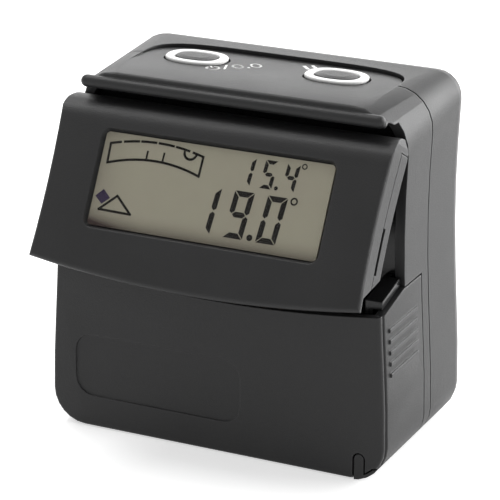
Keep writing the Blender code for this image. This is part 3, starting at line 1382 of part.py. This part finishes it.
clear_scene()
carriers = {
    "display": carrier_at("display_hinge", (0.0, HINGE_Y, HINGE_Z)),
    "cover": carrier_at("cover_slide", (0.0, COVER_FRONT_Y, 0.0)),
}
for button, middle in BUTTONS:
    carriers[button] = carrier_at(button + "_press", (*middle, BODY_HEIGHT))
front_shell()
rear_shell()
chassis()
battery_cover()
front_plate()
magnets()
housing_screws()
power()
main_board()
board_parts()
keypad()
display_bezel()
display_back()
display_stack()
hinge_pins()
panel_screws()
ribbon()
carriers["display"].rotation_euler = (-OPEN_ANGLE, 0.0, 0.0)
bpy.context.view_layer.update()
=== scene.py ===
import json
import math

import bmesh
import bpy
from mathutils import Matrix, Vector
from mathutils.bvhtree import BVHTree


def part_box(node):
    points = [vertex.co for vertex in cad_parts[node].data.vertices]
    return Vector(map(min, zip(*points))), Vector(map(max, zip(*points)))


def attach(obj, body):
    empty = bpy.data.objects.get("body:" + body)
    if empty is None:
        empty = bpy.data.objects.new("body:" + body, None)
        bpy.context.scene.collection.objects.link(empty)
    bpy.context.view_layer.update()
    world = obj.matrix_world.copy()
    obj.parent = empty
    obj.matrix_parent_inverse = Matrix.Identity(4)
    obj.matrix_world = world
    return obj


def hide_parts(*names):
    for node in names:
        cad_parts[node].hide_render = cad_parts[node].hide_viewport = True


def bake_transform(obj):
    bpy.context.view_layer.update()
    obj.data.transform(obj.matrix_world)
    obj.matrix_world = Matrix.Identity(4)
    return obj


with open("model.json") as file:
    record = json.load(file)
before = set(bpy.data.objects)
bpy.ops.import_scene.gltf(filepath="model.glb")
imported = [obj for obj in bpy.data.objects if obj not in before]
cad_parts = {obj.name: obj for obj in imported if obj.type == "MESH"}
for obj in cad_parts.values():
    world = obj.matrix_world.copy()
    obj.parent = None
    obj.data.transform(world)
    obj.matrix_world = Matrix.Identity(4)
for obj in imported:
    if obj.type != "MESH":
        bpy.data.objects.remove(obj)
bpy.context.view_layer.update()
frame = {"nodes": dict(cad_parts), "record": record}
nodes = frame["nodes"]
joints = {joint["name"]: joint for joint in frame["record"]["behaviour"]["joints"]}

# Camera
# A long lens a little above the gauge and to its right, fitted to the photograph's outlines.
AIM = Vector((-0.00211, 0.0, 0.02809))
CAMERA_TURN = math.radians(25.442)
CAMERA_RISE = math.radians(19.918)
CAMERA_ROLL = math.radians(0.302)
CAMERA_DISTANCE = 0.41844
CAMERA_LENS = 188.25
CAMERA_SHIFT = (0.00208, -0.00136)

toward_camera = Vector((
    math.sin(CAMERA_TURN) * math.cos(CAMERA_RISE),
    -math.cos(CAMERA_TURN) * math.cos(CAMERA_RISE),
    math.sin(CAMERA_RISE),
))
level_right = Vector((math.cos(CAMERA_TURN), math.sin(CAMERA_TURN), 0.0))
level_up = toward_camera.cross(level_right)
image_right = level_right * math.cos(CAMERA_ROLL) + level_up * math.sin(CAMERA_ROLL)
image_up = level_up * math.cos(CAMERA_ROLL) - level_right * math.sin(CAMERA_ROLL)
camera_turned = Matrix((image_right, image_up, toward_camera)).transposed().to_4x4()

camera = bpy.data.objects.new("camera", bpy.data.cameras.new("camera"))
camera.data.lens = CAMERA_LENS
camera.data.sensor_width = 36.0
camera.data.shift_x, camera.data.shift_y = CAMERA_SHIFT
camera.data.clip_end = 20.0
camera.matrix_world = Matrix.Translation(AIM + toward_camera * CAMERA_DISTANCE) @ camera_turned
bpy.context.scene.collection.objects.link(camera)
bpy.context.scene.camera = camera
bpy.context.scene.view_settings.view_transform = "Standard"


class Wire:
    """One socket of a finish. Sums written with it add their Math nodes."""

    def __init__(self, finish, socket):
        self.finish = finish
        self.socket = socket

    def _maths(self, operation, first, second):
        return self.finish.node("ShaderNodeMath", {"operation": operation}, {0: first, 1: second})

    def __add__(self, other):
        return self._maths("ADD", self, other)

    __radd__ = __add__

    def __sub__(self, other):
        return self._maths("SUBTRACT", self, other)

    def __rsub__(self, other):
        return self._maths("SUBTRACT", other, self)

    def __mul__(self, other):
        return self._maths("MULTIPLY", self, other)

    __rmul__ = __mul__

    def __gt__(self, other):
        return self._maths("GREATER_THAN", self, other)

    def clamped(self):
        return self.finish.node("ShaderNodeClamp", {}, {0: self})


class Finish:
    """The node tree of one material or of the world, with its nodes added one at a time."""

    def __init__(self, owner):
        self.owner = owner
        owner.use_nodes = True
        self.tree = owner.node_tree
        self.tree.nodes.clear()

    def node(self, kind, settings=None, sockets=None, output=0):
        made = self.tree.nodes.new(kind)
        for name, value in (settings or {}).items():
            setattr(made, name, value)
        for name, value in (sockets or {}).items():
            if isinstance(value, Wire):
                self.tree.links.new(value.socket, made.inputs[name])
            else:
                made.inputs[name].default_value = value
        return Wire(self, made.outputs[output]) if made.outputs else None

    def mix(self, share, first, second):
        sockets = {0: share, 6: first, 7: second}
        return self.node("ShaderNodeMix", {"data_type": "RGBA"}, sockets, output=2)

    def place(self, stretch=(1.0, 1.0, 1.0)):
        """Where a point is on the object, in metres times stretch."""
        where = self.node("ShaderNodeTexCoord", output="Object")
        return self.node("ShaderNodeMapping", {}, {"Vector": where, "Scale": stretch})

    def along(self, direction, start, length):
        """0 at start and 1 a length further in a direction."""
        sockets = {0: self.place(), 1: tuple(direction)}
        reach = self.node(
            "ShaderNodeVectorMath", {"operation": "DOT_PRODUCT"}, sockets, output="Value"
        )
        return ((reach - start) * (1.0 / length)).clamped()

    def noise(self, size, detail=3.0, roughness=0.55, stretch=(1.0, 1.0, 1.0)):
        """Noise whose lumps are about size metres across."""
        sockets = {
            "Vector": self.place(stretch),
            "Scale": 1.0 / size,
            "Detail": detail,
            "Roughness": roughness,
        }
        return self.node("ShaderNodeTexNoise", {}, sockets)

    def stripes(self, pitch, axis):
        """Parallel bands across an axis, from 0 to 1, one each pitch."""
        settings = {"bands_direction": axis}
        sockets = {"Vector": self.place(), "Scale": 0.314 / pitch}
        return self.node("ShaderNodeTexWave", settings, sockets, output="Fac")

    def soft_edges(self, radius):
        """The surface's normal with its edges rounded off."""
        return self.node("ShaderNodeBevel", {"samples": 4}, {"Radius": radius})

    def edge_share(self, radius, gain):
        """0 on flat faces, up to 1 along the edges that handling polishes and that carry a painted
        highlight.
        """
        soft = self.soft_edges(radius)
        flat = self.node("ShaderNodeNewGeometry", output="Normal")
        settings = {"operation": "DOT_PRODUCT"}
        alike = self.node("ShaderNodeVectorMath", settings, {0: soft, 1: flat}, output="Value")
        return ((1.0 - alike) * gain).clamped()

    def bump(self, height, depth, normal=None):
        sockets = {"Height": height, "Distance": depth}
        if normal is not None:
            sockets["Normal"] = normal
        return self.node("ShaderNodeBump", {}, sockets)

    def coated(self, sockets):
        """Ends the tree with a Principled shader that has these sockets."""
        shader = self.node("ShaderNodeBsdfPrincipled", {}, sockets)
        self.node("ShaderNodeOutputMaterial", {}, {"Surface": shader})
        return self.owner


# Studio
# A white sweep under and behind the gauge. A broad lamp low behind it gives the top its sheen, one
# at the rear right lights its side, and one overhead picks out the rounded edges at the front.
FLOOR_SIZE = 3.0
PAPER = (0.80, 0.80, 0.80, 1.0)
PALE_PAPER = (0.82, 0.82, 0.82, 1.0)
UNSEEN = (0.0, 0.0, 0.0, 1.0)
SEEN_GLOW = (0.52, 0.52, 0.52, 1.0)
ROOM_LIGHT = 0.55

world = Finish(bpy.data.worlds.new("studio"))
bpy.context.scene.world = world.owner


def seen_share(finish):
    """1 for rays that see the white surroundings directly, in gloss or through glass."""
    rays = finish.tree.nodes.new("ShaderNodeLightPath")
    outputs = ("Is Camera Ray", "Is Glossy Ray", "Is Transmission Ray")
    camera_ray, glossy_ray, through_ray = [Wire(finish, rays.outputs[name]) for name in outputs]
    return (camera_ray + glossy_ray + through_ray).clamped()


strength = seen_share(world) * (1.0 - ROOM_LIGHT) + ROOM_LIGHT
backdrop = world.node("ShaderNodeBackground", {}, {"Color": (1, 1, 1, 1), "Strength": strength})
world.node("ShaderNodeOutputWorld", {}, {"Surface": backdrop})

floor_mesh = bmesh.new()
bmesh.ops.create_grid(floor_mesh, x_segments=2, y_segments=2, size=FLOOR_SIZE)
floor = bpy.data.objects.new("floor", bpy.data.meshes.new("floor"))
floor_mesh.to_mesh(floor.data)
floor_mesh.free()
bpy.context.scene.collection.objects.link(floor)
paper = Finish(bpy.data.materials.new("white_sweep"))
paper_sockets = {
    "Base Color": paper.mix(paper.noise(0.08), PAPER, PALE_PAPER),
    "Roughness": 0.9,
    "Specular IOR Level": 0.1,
    "Emission Color": paper.mix(seen_share(paper), UNSEEN, SEEN_GLOW),
    "Emission Strength": 1.0,
}
floor.data.materials.append(paper.coated(paper_sockets))


def lamp(name, place, aim, width, height, power):
    made = bpy.data.objects.new(name, bpy.data.lights.new(name, "AREA"))
    made.data.shape = "RECTANGLE"
    made.data.size = width
    made.data.size_y = height
    made.data.energy = power
    made.location = place
    made.rotation_euler = (Vector(aim) - Vector(place)).to_track_quat("-Z", "Y").to_euler()
    made.visible_camera = False
    bpy.context.scene.collection.objects.link(made)


LAMP_AIM = (0.0, 0.0, 0.03)
lamp("rear_lamp", (-0.42, 0.95, 0.42), LAMP_AIM, 1.0, 0.5, 3.3)
lamp("side_lamp", (0.80, 0.78, 0.36), LAMP_AIM, 1.5, 0.7, 25.0)
lamp("top_lamp", (-0.42, 0.10, 0.92), LAMP_AIM, 0.5, 0.25, 4.5)


# Chassis
# One black injection moulding with a glossy finish. The shells, the panel and the boards fix to
# it, and its bay wall shows behind the open panel.
JET = (0.007, 0.007, 0.0073, 1.0)
BLACK = (0.0095, 0.0095, 0.0098, 1.0)
GREY_BLACK = (0.0155, 0.0155, 0.0160, 1.0)
EDGE_ROUND = 0.0002
SHARP_TURN = math.radians(32.0)
FLAT_TURN = math.radians(0.4)
WELD = 1e-6


def moulded(name, dark, pale, roughness, grain=0.00028, relief=0.00002, edge=0.00025, wear_and_highlight=2.2):
    """Injection-moulded plastic with a spark-eroded grain, and edges that handling has polished,
    lightened too as a painted highlight.
    """
    finish = Finish(bpy.data.materials.new(name))
    drift = finish.noise(0.009, detail=2.0)
    # Along the edges: lower roughness for the polish of handling, and a lighter colour that is a
    # painted highlight.
    worn_lit_edges = finish.edge_share(edge * 2.4, 5.0)
    rubbed_highlight_tone = tuple(wear_and_highlight * part for part in pale[:3]) + (1.0,)
    texture = finish.noise(grain, detail=4.0, roughness=0.65)
    sockets = {
        "Base Color": finish.mix(worn_lit_edges * 0.5, finish.mix(drift, dark, pale), rubbed_highlight_tone),
        "Roughness": (drift - 0.5) * 0.10 + roughness - worn_lit_edges * 0.10,
        "Normal": finish.bump(texture, relief, finish.soft_edges(edge)),
        "Specular IOR Level": 0.29,
    }
    return finish.coated(sockets)


def dress(material, *names):
    """Gives CAD nodes their finish."""
    for name in names:
        nodes[name].data.materials.clear()
        nodes[name].data.materials.append(material)


def stands_for(made, node, body):
    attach(made, body)
    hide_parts(node)


def copied(node, suffix, material):
    """A welded copy of a CAD node's mesh, as an object of its own."""
    mesh = bmesh.new()
    mesh.from_mesh(nodes[node].data)
    bmesh.ops.remove_doubles(mesh, verts=mesh.verts, dist=WELD)
    bmesh.ops.dissolve_limit(
        mesh, angle_limit=FLAT_TURN, verts=mesh.verts, edges=mesh.edges, delimit={"NORMAL"}
    )
    made = bpy.data.objects.new(node + suffix, bpy.data.meshes.new(node + suffix))
    mesh.to_mesh(made.data)
    mesh.free()
    bpy.context.scene.collection.objects.link(made)
    made.data.materials.append(material)
    made.data.shade_smooth()
    made.data.set_sharp_from_angle(angle=SHARP_TURN)
    return made


def rounded(node, body, material, edge=EDGE_ROUND):
    """A copy of a CAD node with its edges rounded and its curves smooth, which stands for it."""
    made = copied(node, "_rounded", material)
    rounding = made.modifiers.new("edges", "BEVEL")
    rounding.width = edge
    rounding.segments = 2
    rounding.limit_method = "ANGLE"
    rounding.angle_limit = SHARP_TURN
    rounding.use_clamp_overlap = True
    stands_for(made, node, body)
    return made


glossy_black = moulded("glossy_black", JET, BLACK, 0.20, relief=0.000004)
rounded("chassis", "housing", glossy_black)


# Cells and contacts
# Two cells in plain printed jackets lie in the chassis troughs, between tinned spring-steel
# sheets. A conical wire spring presses on the flat end of each.
JACKET = (0.035, 0.16, 0.060, 1.0)
JACKET_BAND = (0.52, 0.52, 0.50, 1.0)
BAND_START, BAND_END = 0.80, 0.86
TIN = (0.62, 0.62, 0.60, 1.0)
DULL_TIN = (0.50, 0.50, 0.49, 1.0)
WIRE_STEEL = (0.58, 0.58, 0.57, 1.0)


def metal(name, dull, bright, roughness, brushed=(1.0, 1.0, 12.0), relief=0.000004):
    """Bare metal with fine brushing and a slow drift of tarnish."""
    finish = Finish(bpy.data.materials.new(name))
    tarnish = finish.noise(0.004, detail=3.0)
    brushing = finish.noise(0.0006, detail=3.0, stretch=brushed)
    sockets = {
        "Base Color": finish.mix(tarnish, dull, bright),
        "Metallic": 1.0,
        "Roughness": (tarnish - 0.5) * 0.16 + roughness,
        "Normal": finish.bump(brushing, relief, finish.soft_edges(0.0001)),
    }
    return finish.coated(sockets)


def jacket():
    """A printed film round a steel can: one pale band near the raised end."""
    finish = Finish(bpy.data.materials.new("cell_jacket"))
    low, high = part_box("cell_upper")
    length = high[0] - low[0]
    reach = finish.along((1, 0, 0), low[0], length)
    band = (reach > BAND_START) * (BAND_END - reach > 0.0)
    print_noise = finish.noise(0.0008)
    sockets = {
        "Base Color": finish.mix(band, JACKET, JACKET_BAND),
        "Roughness": print_noise * 0.12 + 0.28,
        "Normal": finish.bump(print_noise, 0.000006),
        "Coat Weight": 0.4,
    }
    return finish.coated(sockets)


dress(jacket(), "cell_upper", "cell_lower")
tinned = metal("tinned_sheet", DULL_TIN, TIN, 0.30)
dress(tinned, "contact_bridge", "contact_positive", "contact_negative")
dress(metal("spring_wire", DULL_TIN, WIRE_STEEL, 0.26), "spring_upper", "spring_lower")


# Boards
# Green glass-fibre boards screwed to the chassis and under the hood, with the tilt sensor, the
# processor, the crystal and the capacitor on the rear of the main one.
MASK_GREEN = (0.010, 0.085, 0.035, 1.0)
TRACK_GREEN = (0.020, 0.130, 0.055, 1.0)
EPOXY = (0.016, 0.016, 0.017, 1.0)
EPOXY_PALE = (0.030, 0.030, 0.031, 1.0)
NYLON = (0.66, 0.64, 0.58, 1.0)
NYLON_PALE = (0.74, 0.72, 0.66, 1.0)
TRACK_PITCH = 0.0011


def board():
    """Solder mask over copper tracks, which stand a little proud."""
    finish = Finish(bpy.data.materials.new("circuit_board"))
    wander = finish.noise(0.006, detail=1.0)
    tracks = (finish.stripes(TRACK_PITCH, "X") > 0.55) * (wander > 0.5)
    sockets = {
        "Base Color": finish.mix(tracks, MASK_GREEN, TRACK_GREEN),
        "Roughness": wander * 0.10 + 0.30,
        "Normal": finish.bump(tracks, 0.00002),
    }
    return finish.coated(sockets)


dress(board(), "main_board", "keypad_board", "display_board")
epoxy = moulded("epoxy_package", EPOXY, EPOXY_PALE, 0.55, grain=0.0002)
dress(epoxy, "processor", "capacitor", "board_header", "zero_switch", "hold_switch")
dress(metal("can_steel", DULL_TIN, TIN, 0.22), "tilt_sensor", "crystal")
nylon = moulded("nylon", NYLON, NYLON_PALE, 0.45, wear_and_highlight=1.1)
dress(nylon, "ribbon_socket", "zero_plunger", "hold_plunger")


# Rear shell, magnets and screws
# The rear half of the housing is textured black ABS. Four nickel-plated magnets are glued into its
# base, and zinc-plated screws hold the halves, the chassis and the boards together.
NICKEL = (0.60, 0.57, 0.52, 1.0)
NICKEL_DULL = (0.44, 0.42, 0.39, 1.0)
ZINC = (0.50, 0.51, 0.53, 1.0)
ZINC_DULL = (0.38, 0.38, 0.40, 1.0)

textured_black = moulded("textured_black", BLACK, GREY_BLACK, 0.42, relief=0.00006)
rounded("rear_shell", "housing", textured_black)
nickel = metal("nickel_plate", NICKEL_DULL, NICKEL, 0.24, brushed=(1.0, 12.0, 1.0))
dress(nickel, "magnet_1", "magnet_2", "magnet_3", "magnet_4")
zinc = metal("zinc_plate", ZINC_DULL, ZINC, 0.34, brushed=(1.0, 1.0, 1.0))
dress(zinc, *[name for name in nodes if "screw" in name])


# Front shell
# The hood with its rolled lip, the side bands and the keypad recess, in the same textured ABS.
rounded("front_shell", "housing", textured_black)


# Keys
# Each key is a black cap with a white ring moulded round its crown. Its mark is printed on the
# recess beside it.
WHITE = (0.76, 0.76, 0.75, 1.0)
BRIGHT_WHITE = (0.86, 0.86, 0.85, 1.0)
INK_DEPTH = 0.00003

white = moulded("white_plastic", WHITE, BRIGHT_WHITE, 0.38, wear_and_highlight=1.0)
dress(white, "zero_ring", "hold_ring")
dress(textured_black, "zero_button", "hold_button")


# Battery cover and front plate
# A tub that slides down off the cells, with grip ribs on its wings. A smoother plate is set in its
# front, with a bare shallow recess where a label would go.
rounded("battery_cover", "cover", textured_black)
rounded("front_plate", "cover", textured_black)


# Display panel
# A two-part case that turns out on pins in the chassis ears. A clear window covers the liquid
# crystal glass, which two striped rubber strips join to the board behind it.
hinge = Vector(joints["display_hinge"]["pos_m"])
opening = math.radians(-joints["display_hinge"]["range_deg"][0])
OUTWARD = Vector((0.0, -math.cos(opening), math.sin(opening)))
DOWNWARD = Vector((0.0, -math.sin(opening), -math.cos(opening)))
PIN_BRIGHT = (0.55, 0.55, 0.55, 1.0)
RUBBER = (0.030, 0.028, 0.028, 1.0)
RUBBER_PINK = (0.42, 0.16, 0.17, 1.0)
STRIP_PITCH = 0.0004

rounded("display_bezel", "display", textured_black)
rounded("display_back", "display", textured_black)
dress(metal("ground_pin", DULL_TIN, PIN_BRIGHT, 0.20), "hinge_pin_left", "hinge_pin_right")


def strip_rubber():
    """Conducting and insulating layers in turn along the strip."""
    finish = Finish(bpy.data.materials.new("strip_rubber"))
    bands = finish.stripes(STRIP_PITCH, "X")
    sockets = {
        "Base Color": finish.mix(bands, RUBBER, RUBBER_PINK),
        "Roughness": bands * 0.1 + 0.65,
    }
    return finish.coated(sockets)


dress(strip_rubber(), "display_strip_lower", "display_strip_upper")

# Display glass and window
# Grey-green reflective glass seen through a clear moulded window that fills the bezel's opening, so
# it looks nearly flush. It darkens along its lower edge, with a faint violet cast in the corner.
MM = 0.001
GLASS_SPAN = (-19.35, 19.35)
GLASS_DROP = (-1.45, 13.4)
GLASS_DEPTH = (0.0, 2.37)
WINDOW_DEPTH = (2.45, 2.65)
GLASS_OLIVE = (0.370, 0.356, 0.268, 1.0)
GLASS_GREY = (0.350, 0.322, 0.255, 1.0)
GLASS_BROWN = (0.045, 0.030, 0.027, 1.0)
WINDOW_TINT = (0.05, 0.05, 0.048, 1.0)
FOOT_START = 10.2
FOOT_LENGTH = 3.0
CORNER_LENGTH = 9.0


def on_panel(x, y, out):
    """A point of the open panel: millimetres across, down from the hinge, and out of it."""
    return hinge + Vector((x * MM, 0, 0)) + DOWNWARD * y * MM + OUTWARD * out * MM


def pane(name, depth, node, material):
    """A flat clear or glass sheet in the bezel's opening, which stands for a CAD node."""
    mesh = bmesh.new()
    left, right = GLASS_SPAN
    upper, lower = GLASS_DROP
    corners = [(left, upper), (right, upper), (right, lower), (left, lower)]
    back = [mesh.verts.new(on_panel(x, y, depth[0])) for x, y in corners]
    front = [mesh.verts.new(on_panel(x, y, depth[1])) for x, y in corners]
    mesh.faces.new(back)
    mesh.faces.new(front)
    for k in range(4):
        j = (k + 1) % 4
        mesh.faces.new((back[k], back[j], front[j], front[k]))
    bmesh.ops.recalc_face_normals(mesh, faces=mesh.faces)
    made = bpy.data.objects.new(name, bpy.data.meshes.new(name))
    mesh.to_mesh(made.data)
    mesh.free()
    bpy.context.scene.collection.objects.link(made)
    made.data.materials.append(material)
    stands_for(made, node, "display")


def display_glass():
    finish = Finish(bpy.data.materials.new("display_glass"))
    foot = finish.along(DOWNWARD, hinge.dot(DOWNWARD) + FOOT_START * MM, FOOT_LENGTH * MM)
    left = 1.0 - finish.along((1, 0, 0), GLASS_SPAN[0] * MM, CORNER_LENGTH * MM)
    mottle = finish.noise(0.007, detail=1.0)
    tone = finish.mix(mottle, GLASS_OLIVE, GLASS_GREY)
    shade = (foot * foot * (left * 0.5 + 0.6) + left * left * left * 0.25).clamped()
    sockets = {
        "Base Color": finish.mix(shade, tone, GLASS_BROWN),
        "Roughness": mottle * 0.1 + 0.40,
        "Specular IOR Level": 0.1,
    }
    return finish.coated(sockets)


def window():
    """Clear acrylic with a trace of dust."""
    finish = Finish(bpy.data.materials.new("clear_window"))
    dust = finish.noise(0.0015, detail=5.0, roughness=0.7)
    sockets = {
        "Base Color": WINDOW_TINT,
        "Roughness": dust * 0.08 + 0.04,
        "Alpha": dust * 0.03 + 0.04,
        "Specular IOR Level": 0.5,
    }
    return finish.coated(sockets)


pane("display_glass_face", GLASS_DEPTH, "lcd_glass", display_glass())
pane("display_window", WINDOW_DEPTH, "display_lens", window())

# Display figures
# The dark shapes of the liquid crystal: a level scale with its bubble, a slope mark, and the angle
# twice, in slanted seven-segment figures. They are measured in millimetres across and down.
FIGURE_BLACK = (0.010, 0.009, 0.008, 1.0)
FIGURE_VIOLET = (0.030, 0.022, 0.045, 1.0)
FIGURE_LIFT = 0.00001
FIGURE_THICKNESS = 0.00002
LINE = 0.38
SLANT = 0.075
SEGMENT_GAP = 0.11
SEGMENTS = {"0": "abcdef", "1": "bc", "4": "bcfg", "5": "acdfg", "9": "abcfgd"}
SMALL_READING = {"left": 4.07, "top": -0.72, "width": 2.1, "height": 4.42, "pitch": 3.65, "thick": 0.60}
LARGE_READING = {"left": -1.95, "top": 4.60, "width": 3.3, "height": 7.35, "pitch": 5.50, "thick": 0.86}


def drawn_line(points, width):
    """Quads along a line of points."""
    quads = []
    side = width / 2
    for (x0, y0), (x1, y1) in zip(points, points[1:]):
        length = math.hypot(x1 - x0, y1 - y0)
        u, v = (x1 - x0) / length * side, (y1 - y0) / length * side
        start = (x0 - u * 0.8, y0 - v * 0.8)
        stop = (x1 + u * 0.8, y1 + v * 0.8)
        quads.append([
            (start[0] - v, start[1] + u),
            (stop[0] - v, stop[1] + u),
            (stop[0] + v, stop[1] - u),
            (start[0] + v, start[1] - u),
        ])
    return quads


def bowed(x0, x1, arch, steps=6):
    """Part of an arch across the display, from x0 to x1."""
    left, right, ends, middle = arch
    points = []
    for k in range(steps + 1):
        x = x0 + (x1 - x0) * k / steps
        share = 2 * (x - left) / (right - left) - 1
        points.append((x, middle + (ends - middle) * share * share))
    return points


def ring(x, y, radius, start=0.0, stop=360.0, steps=24):
    turns = [math.radians(start + (stop - start) * k / steps) for k in range(steps + 1)]
    return [(x + radius * math.cos(t), y + radius * math.sin(t)) for t in turns]


def bars(w, h, t):
    """The seven bars of a figure, mitred where they meet."""
    g = SEGMENT_GAP
    m = h / 2
    upper_left = [(0, g), (t, t + g), (t, m - t / 2 - g), (t / 2, m - g), (0, m - t / 2)]
    middle = [(t / 2 + g, m), (t + g, m - t / 2), (w - t - g, m - t / 2)]
    middle += [(w - t / 2 - g, m), (w - t - g, m + t / 2), (t + g, m + t / 2)]
    top = [(g, 0), (w - g, 0), (w - t - g, t), (t + g, t)]
    return {
        "a": top,
        "f": upper_left,
        "g": middle,
        "b": [(w - x, y) for x, y in upper_left],
        "d": [(x, h - y) for x, y in top],
        "e": [(x, h - y) for x, y in upper_left],
        "c": [(w - x, h - y) for x, y in upper_left],
    }


def reading(characters, left, top, width, height, pitch, thick):
    """A row of figures, slanted to the right."""
    shapes = []
    for k, character in enumerate(characters):
        drawn = bars(width, height, thick)
        for name in SEGMENTS[character]:
            shapes.append([
                (left + pitch * k + x + (height - y) * SLANT, top + y) for x, y in drawn[name]
            ])
    return shapes


def printed(name, shapes, place, direction, lift, thickness, body, slot, material):
    """Flat shapes as thin closed plates lying on a surface."""
    mesh = bmesh.new()
    for shape in shapes:
        foot = [mesh.verts.new(place(x, y) + direction * lift) for x, y in shape]
        top = [mesh.verts.new(place(x, y) + direction * (lift + thickness)) for x, y in shape]
        mesh.faces.new(foot)
        mesh.faces.new(top)
        for k in range(len(shape)):
            j = (k + 1) % len(shape)
            mesh.faces.new((foot[k], foot[j], top[j], top[k]))
    bmesh.ops.recalc_face_normals(mesh, faces=mesh.faces)
    made = bpy.data.objects.new(name, bpy.data.meshes.new(name))
    mesh.to_mesh(made.data)
    mesh.free()
    bpy.context.scene.collection.objects.link(made)
    made.data.materials.append(material)
    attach(made, body)


UPPER_ARCH = (-18.3, -2.33, 0.35, -0.74)
LOWER_ARCH = (-18.2, -2.42, 3.43, 2.12)
DASHES = ((-18.3, -16.65), (-16.0, -13.6), (-13.1, -10.65), (-10.1, -7.6), (-7.1, -4.85), (-4.1, -2.33))

level = drawn_line(bowed(-18.2, -2.42, LOWER_ARCH, 24), LINE)
for start, stop in DASHES:
    level += drawn_line(bowed(start, stop, UPPER_ARCH), LINE)
level += drawn_line([(-18.3, 0.35), (-18.2, 3.43)], LINE)
level += drawn_line([(-2.33, 0.35), (-2.42, 3.43)], LINE)
level += drawn_line([(-11.75, 0.8), (-11.77, 2.1)], LINE * 0.8)
level += drawn_line([(-8.92, 0.7), (-8.95, 2.0)], LINE * 0.8)
level += drawn_line(ring(-4.55, 0.0, 1.05, 0.0, 180.0, 10), LINE)
level += drawn_line([(-17.9, 10.8), (-15.2, 8.35), (-12.4, 10.9), (-17.9, 10.8)], LINE)
level += reading("154", **SMALL_READING) + [ring(10.56, 3.38, 0.32, steps=12)[:-1]]
level += reading("190", **LARGE_READING) + [ring(8.02, 11.42, 0.50, steps=16)[:-1]]
level += drawn_line(ring(14.44, -0.52, 0.36), 0.17)
level += drawn_line(ring(13.94, 4.96, 0.48), 0.24)


def figure_ink(name, tone):
    """Switched liquid crystal, nearly black, a little uneven."""
    finish = Finish(bpy.data.materials.new(name))
    uneven = finish.noise(0.0012)
    paler = tuple(1.8 * part for part in tone[:3]) + (1.0,)
    sockets = {
        "Base Color": finish.mix(uneven, tone, paler),
        "Roughness": uneven * 0.1 + 0.45,
        "Specular IOR Level": 0.05,
    }
    return finish.coated(sockets)


def on_glass(x, y):
    return on_panel(x, y, GLASS_DEPTH[1])


on_display = (on_glass, OUTWARD, FIGURE_LIFT, FIGURE_THICKNESS, "display", "lcd")
printed("display_figures", level, *on_display, figure_ink("figure_black", FIGURE_BLACK))
block = [(-18.94, 8.83), (-17.74, 7.6), (-16.39, 8.85), (-17.61, 9.95)]
printed("display_slope_block", [block], *on_display, figure_ink("figure_violet", FIGURE_VIOLET))


# Key marks
# Plain marks in white ink on the recess: a ring and bar beside the left key, two bars by the right.
front_mesh = bmesh.new()
front_mesh.from_mesh(nodes["front_shell"].data)
front_tree = BVHTree.FromBMesh(front_mesh)
front_mesh.free()
ABOVE = 0.08
UP = Vector((0, 0, 1))


def on_recess(x, y):
    """The point of the recess floor under a place measured in millimetres."""
    return front_tree.ray_cast(Vector((x * MM, y * MM, ABOVE)), -UP)[0]


MARK_TURN = math.radians(42.0)
MARK_LINE = 0.34
ZERO_MARK_PLACE = (-5.3, 0.9)
HOLD_MARK_PLACE = (5.3, 6.6)


def laid(shapes, place):
    """Shapes turned to the slope of the marks and moved to their place on the recess."""
    cos, sin = math.cos(MARK_TURN), math.sin(MARK_TURN)
    x0, y0 = place
    return [[(x0 + u * cos - v * sin, y0 + u * sin + v * cos) for u, v in shape] for shape in shapes]


def stretched_ring(u, width, height, steps=20):
    return [(u + (x - u) * width, y * height) for x, y in ring(u, 0.0, 1.0, steps=steps)]


standby = [(x, y - 0.1) for x, y in ring(-3.5, 0.0, 1.0, 125.0, 415.0, 18)]
zero_marks = drawn_line(standby, MARK_LINE)
zero_marks += drawn_line([(-3.5, 0.3), (-3.5, 1.15)], MARK_LINE)
zero_marks += drawn_line([(-1.9, -1.1), (-0.9, 1.1)], MARK_LINE)
zero_marks += drawn_line(stretched_ring(0.6, 0.75, 1.1), MARK_LINE)
zero_marks.append(ring(2.1, -1.0, 0.26, steps=10)[:-1])
zero_marks += drawn_line(stretched_ring(3.6, 0.75, 1.1), MARK_LINE)
hold_marks = drawn_line([(-0.7, -0.95), (-0.7, 0.95)], 0.55)
hold_marks += drawn_line([(0.7, -0.95), (0.7, 0.95)], 0.55)
marks = laid(zero_marks, ZERO_MARK_PLACE) + laid(hold_marks, HOLD_MARK_PLACE)
printed("key_marks", marks, on_recess, UP, 0.0, INK_DEPTH, "housing", "white_plastic", white)


# Ribbon
# Amber film with printed tracks, from the display board through the slot in the bay wall to the
# socket on the main board.
AMBER = (0.42, 0.17, 0.035, 1.0)
AMBER_TRACK = (0.62, 0.30, 0.08, 1.0)
RIBBON_PITCH = 0.0007


def film():
    finish = Finish(bpy.data.materials.new("ribbon_film"))
    tracks = finish.stripes(RIBBON_PITCH, "X")
    sockets = {
        "Base Color": finish.mix(tracks > 0.5, AMBER, AMBER_TRACK),
        "Roughness": tracks * 0.1 + 0.28,
        "Normal": finish.bump(tracks, 0.00001),
    }
    return finish.coated(sockets)


ribbon = copied("display_ribbon", "_film", film())
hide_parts("display_ribbon")
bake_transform(ribbon)
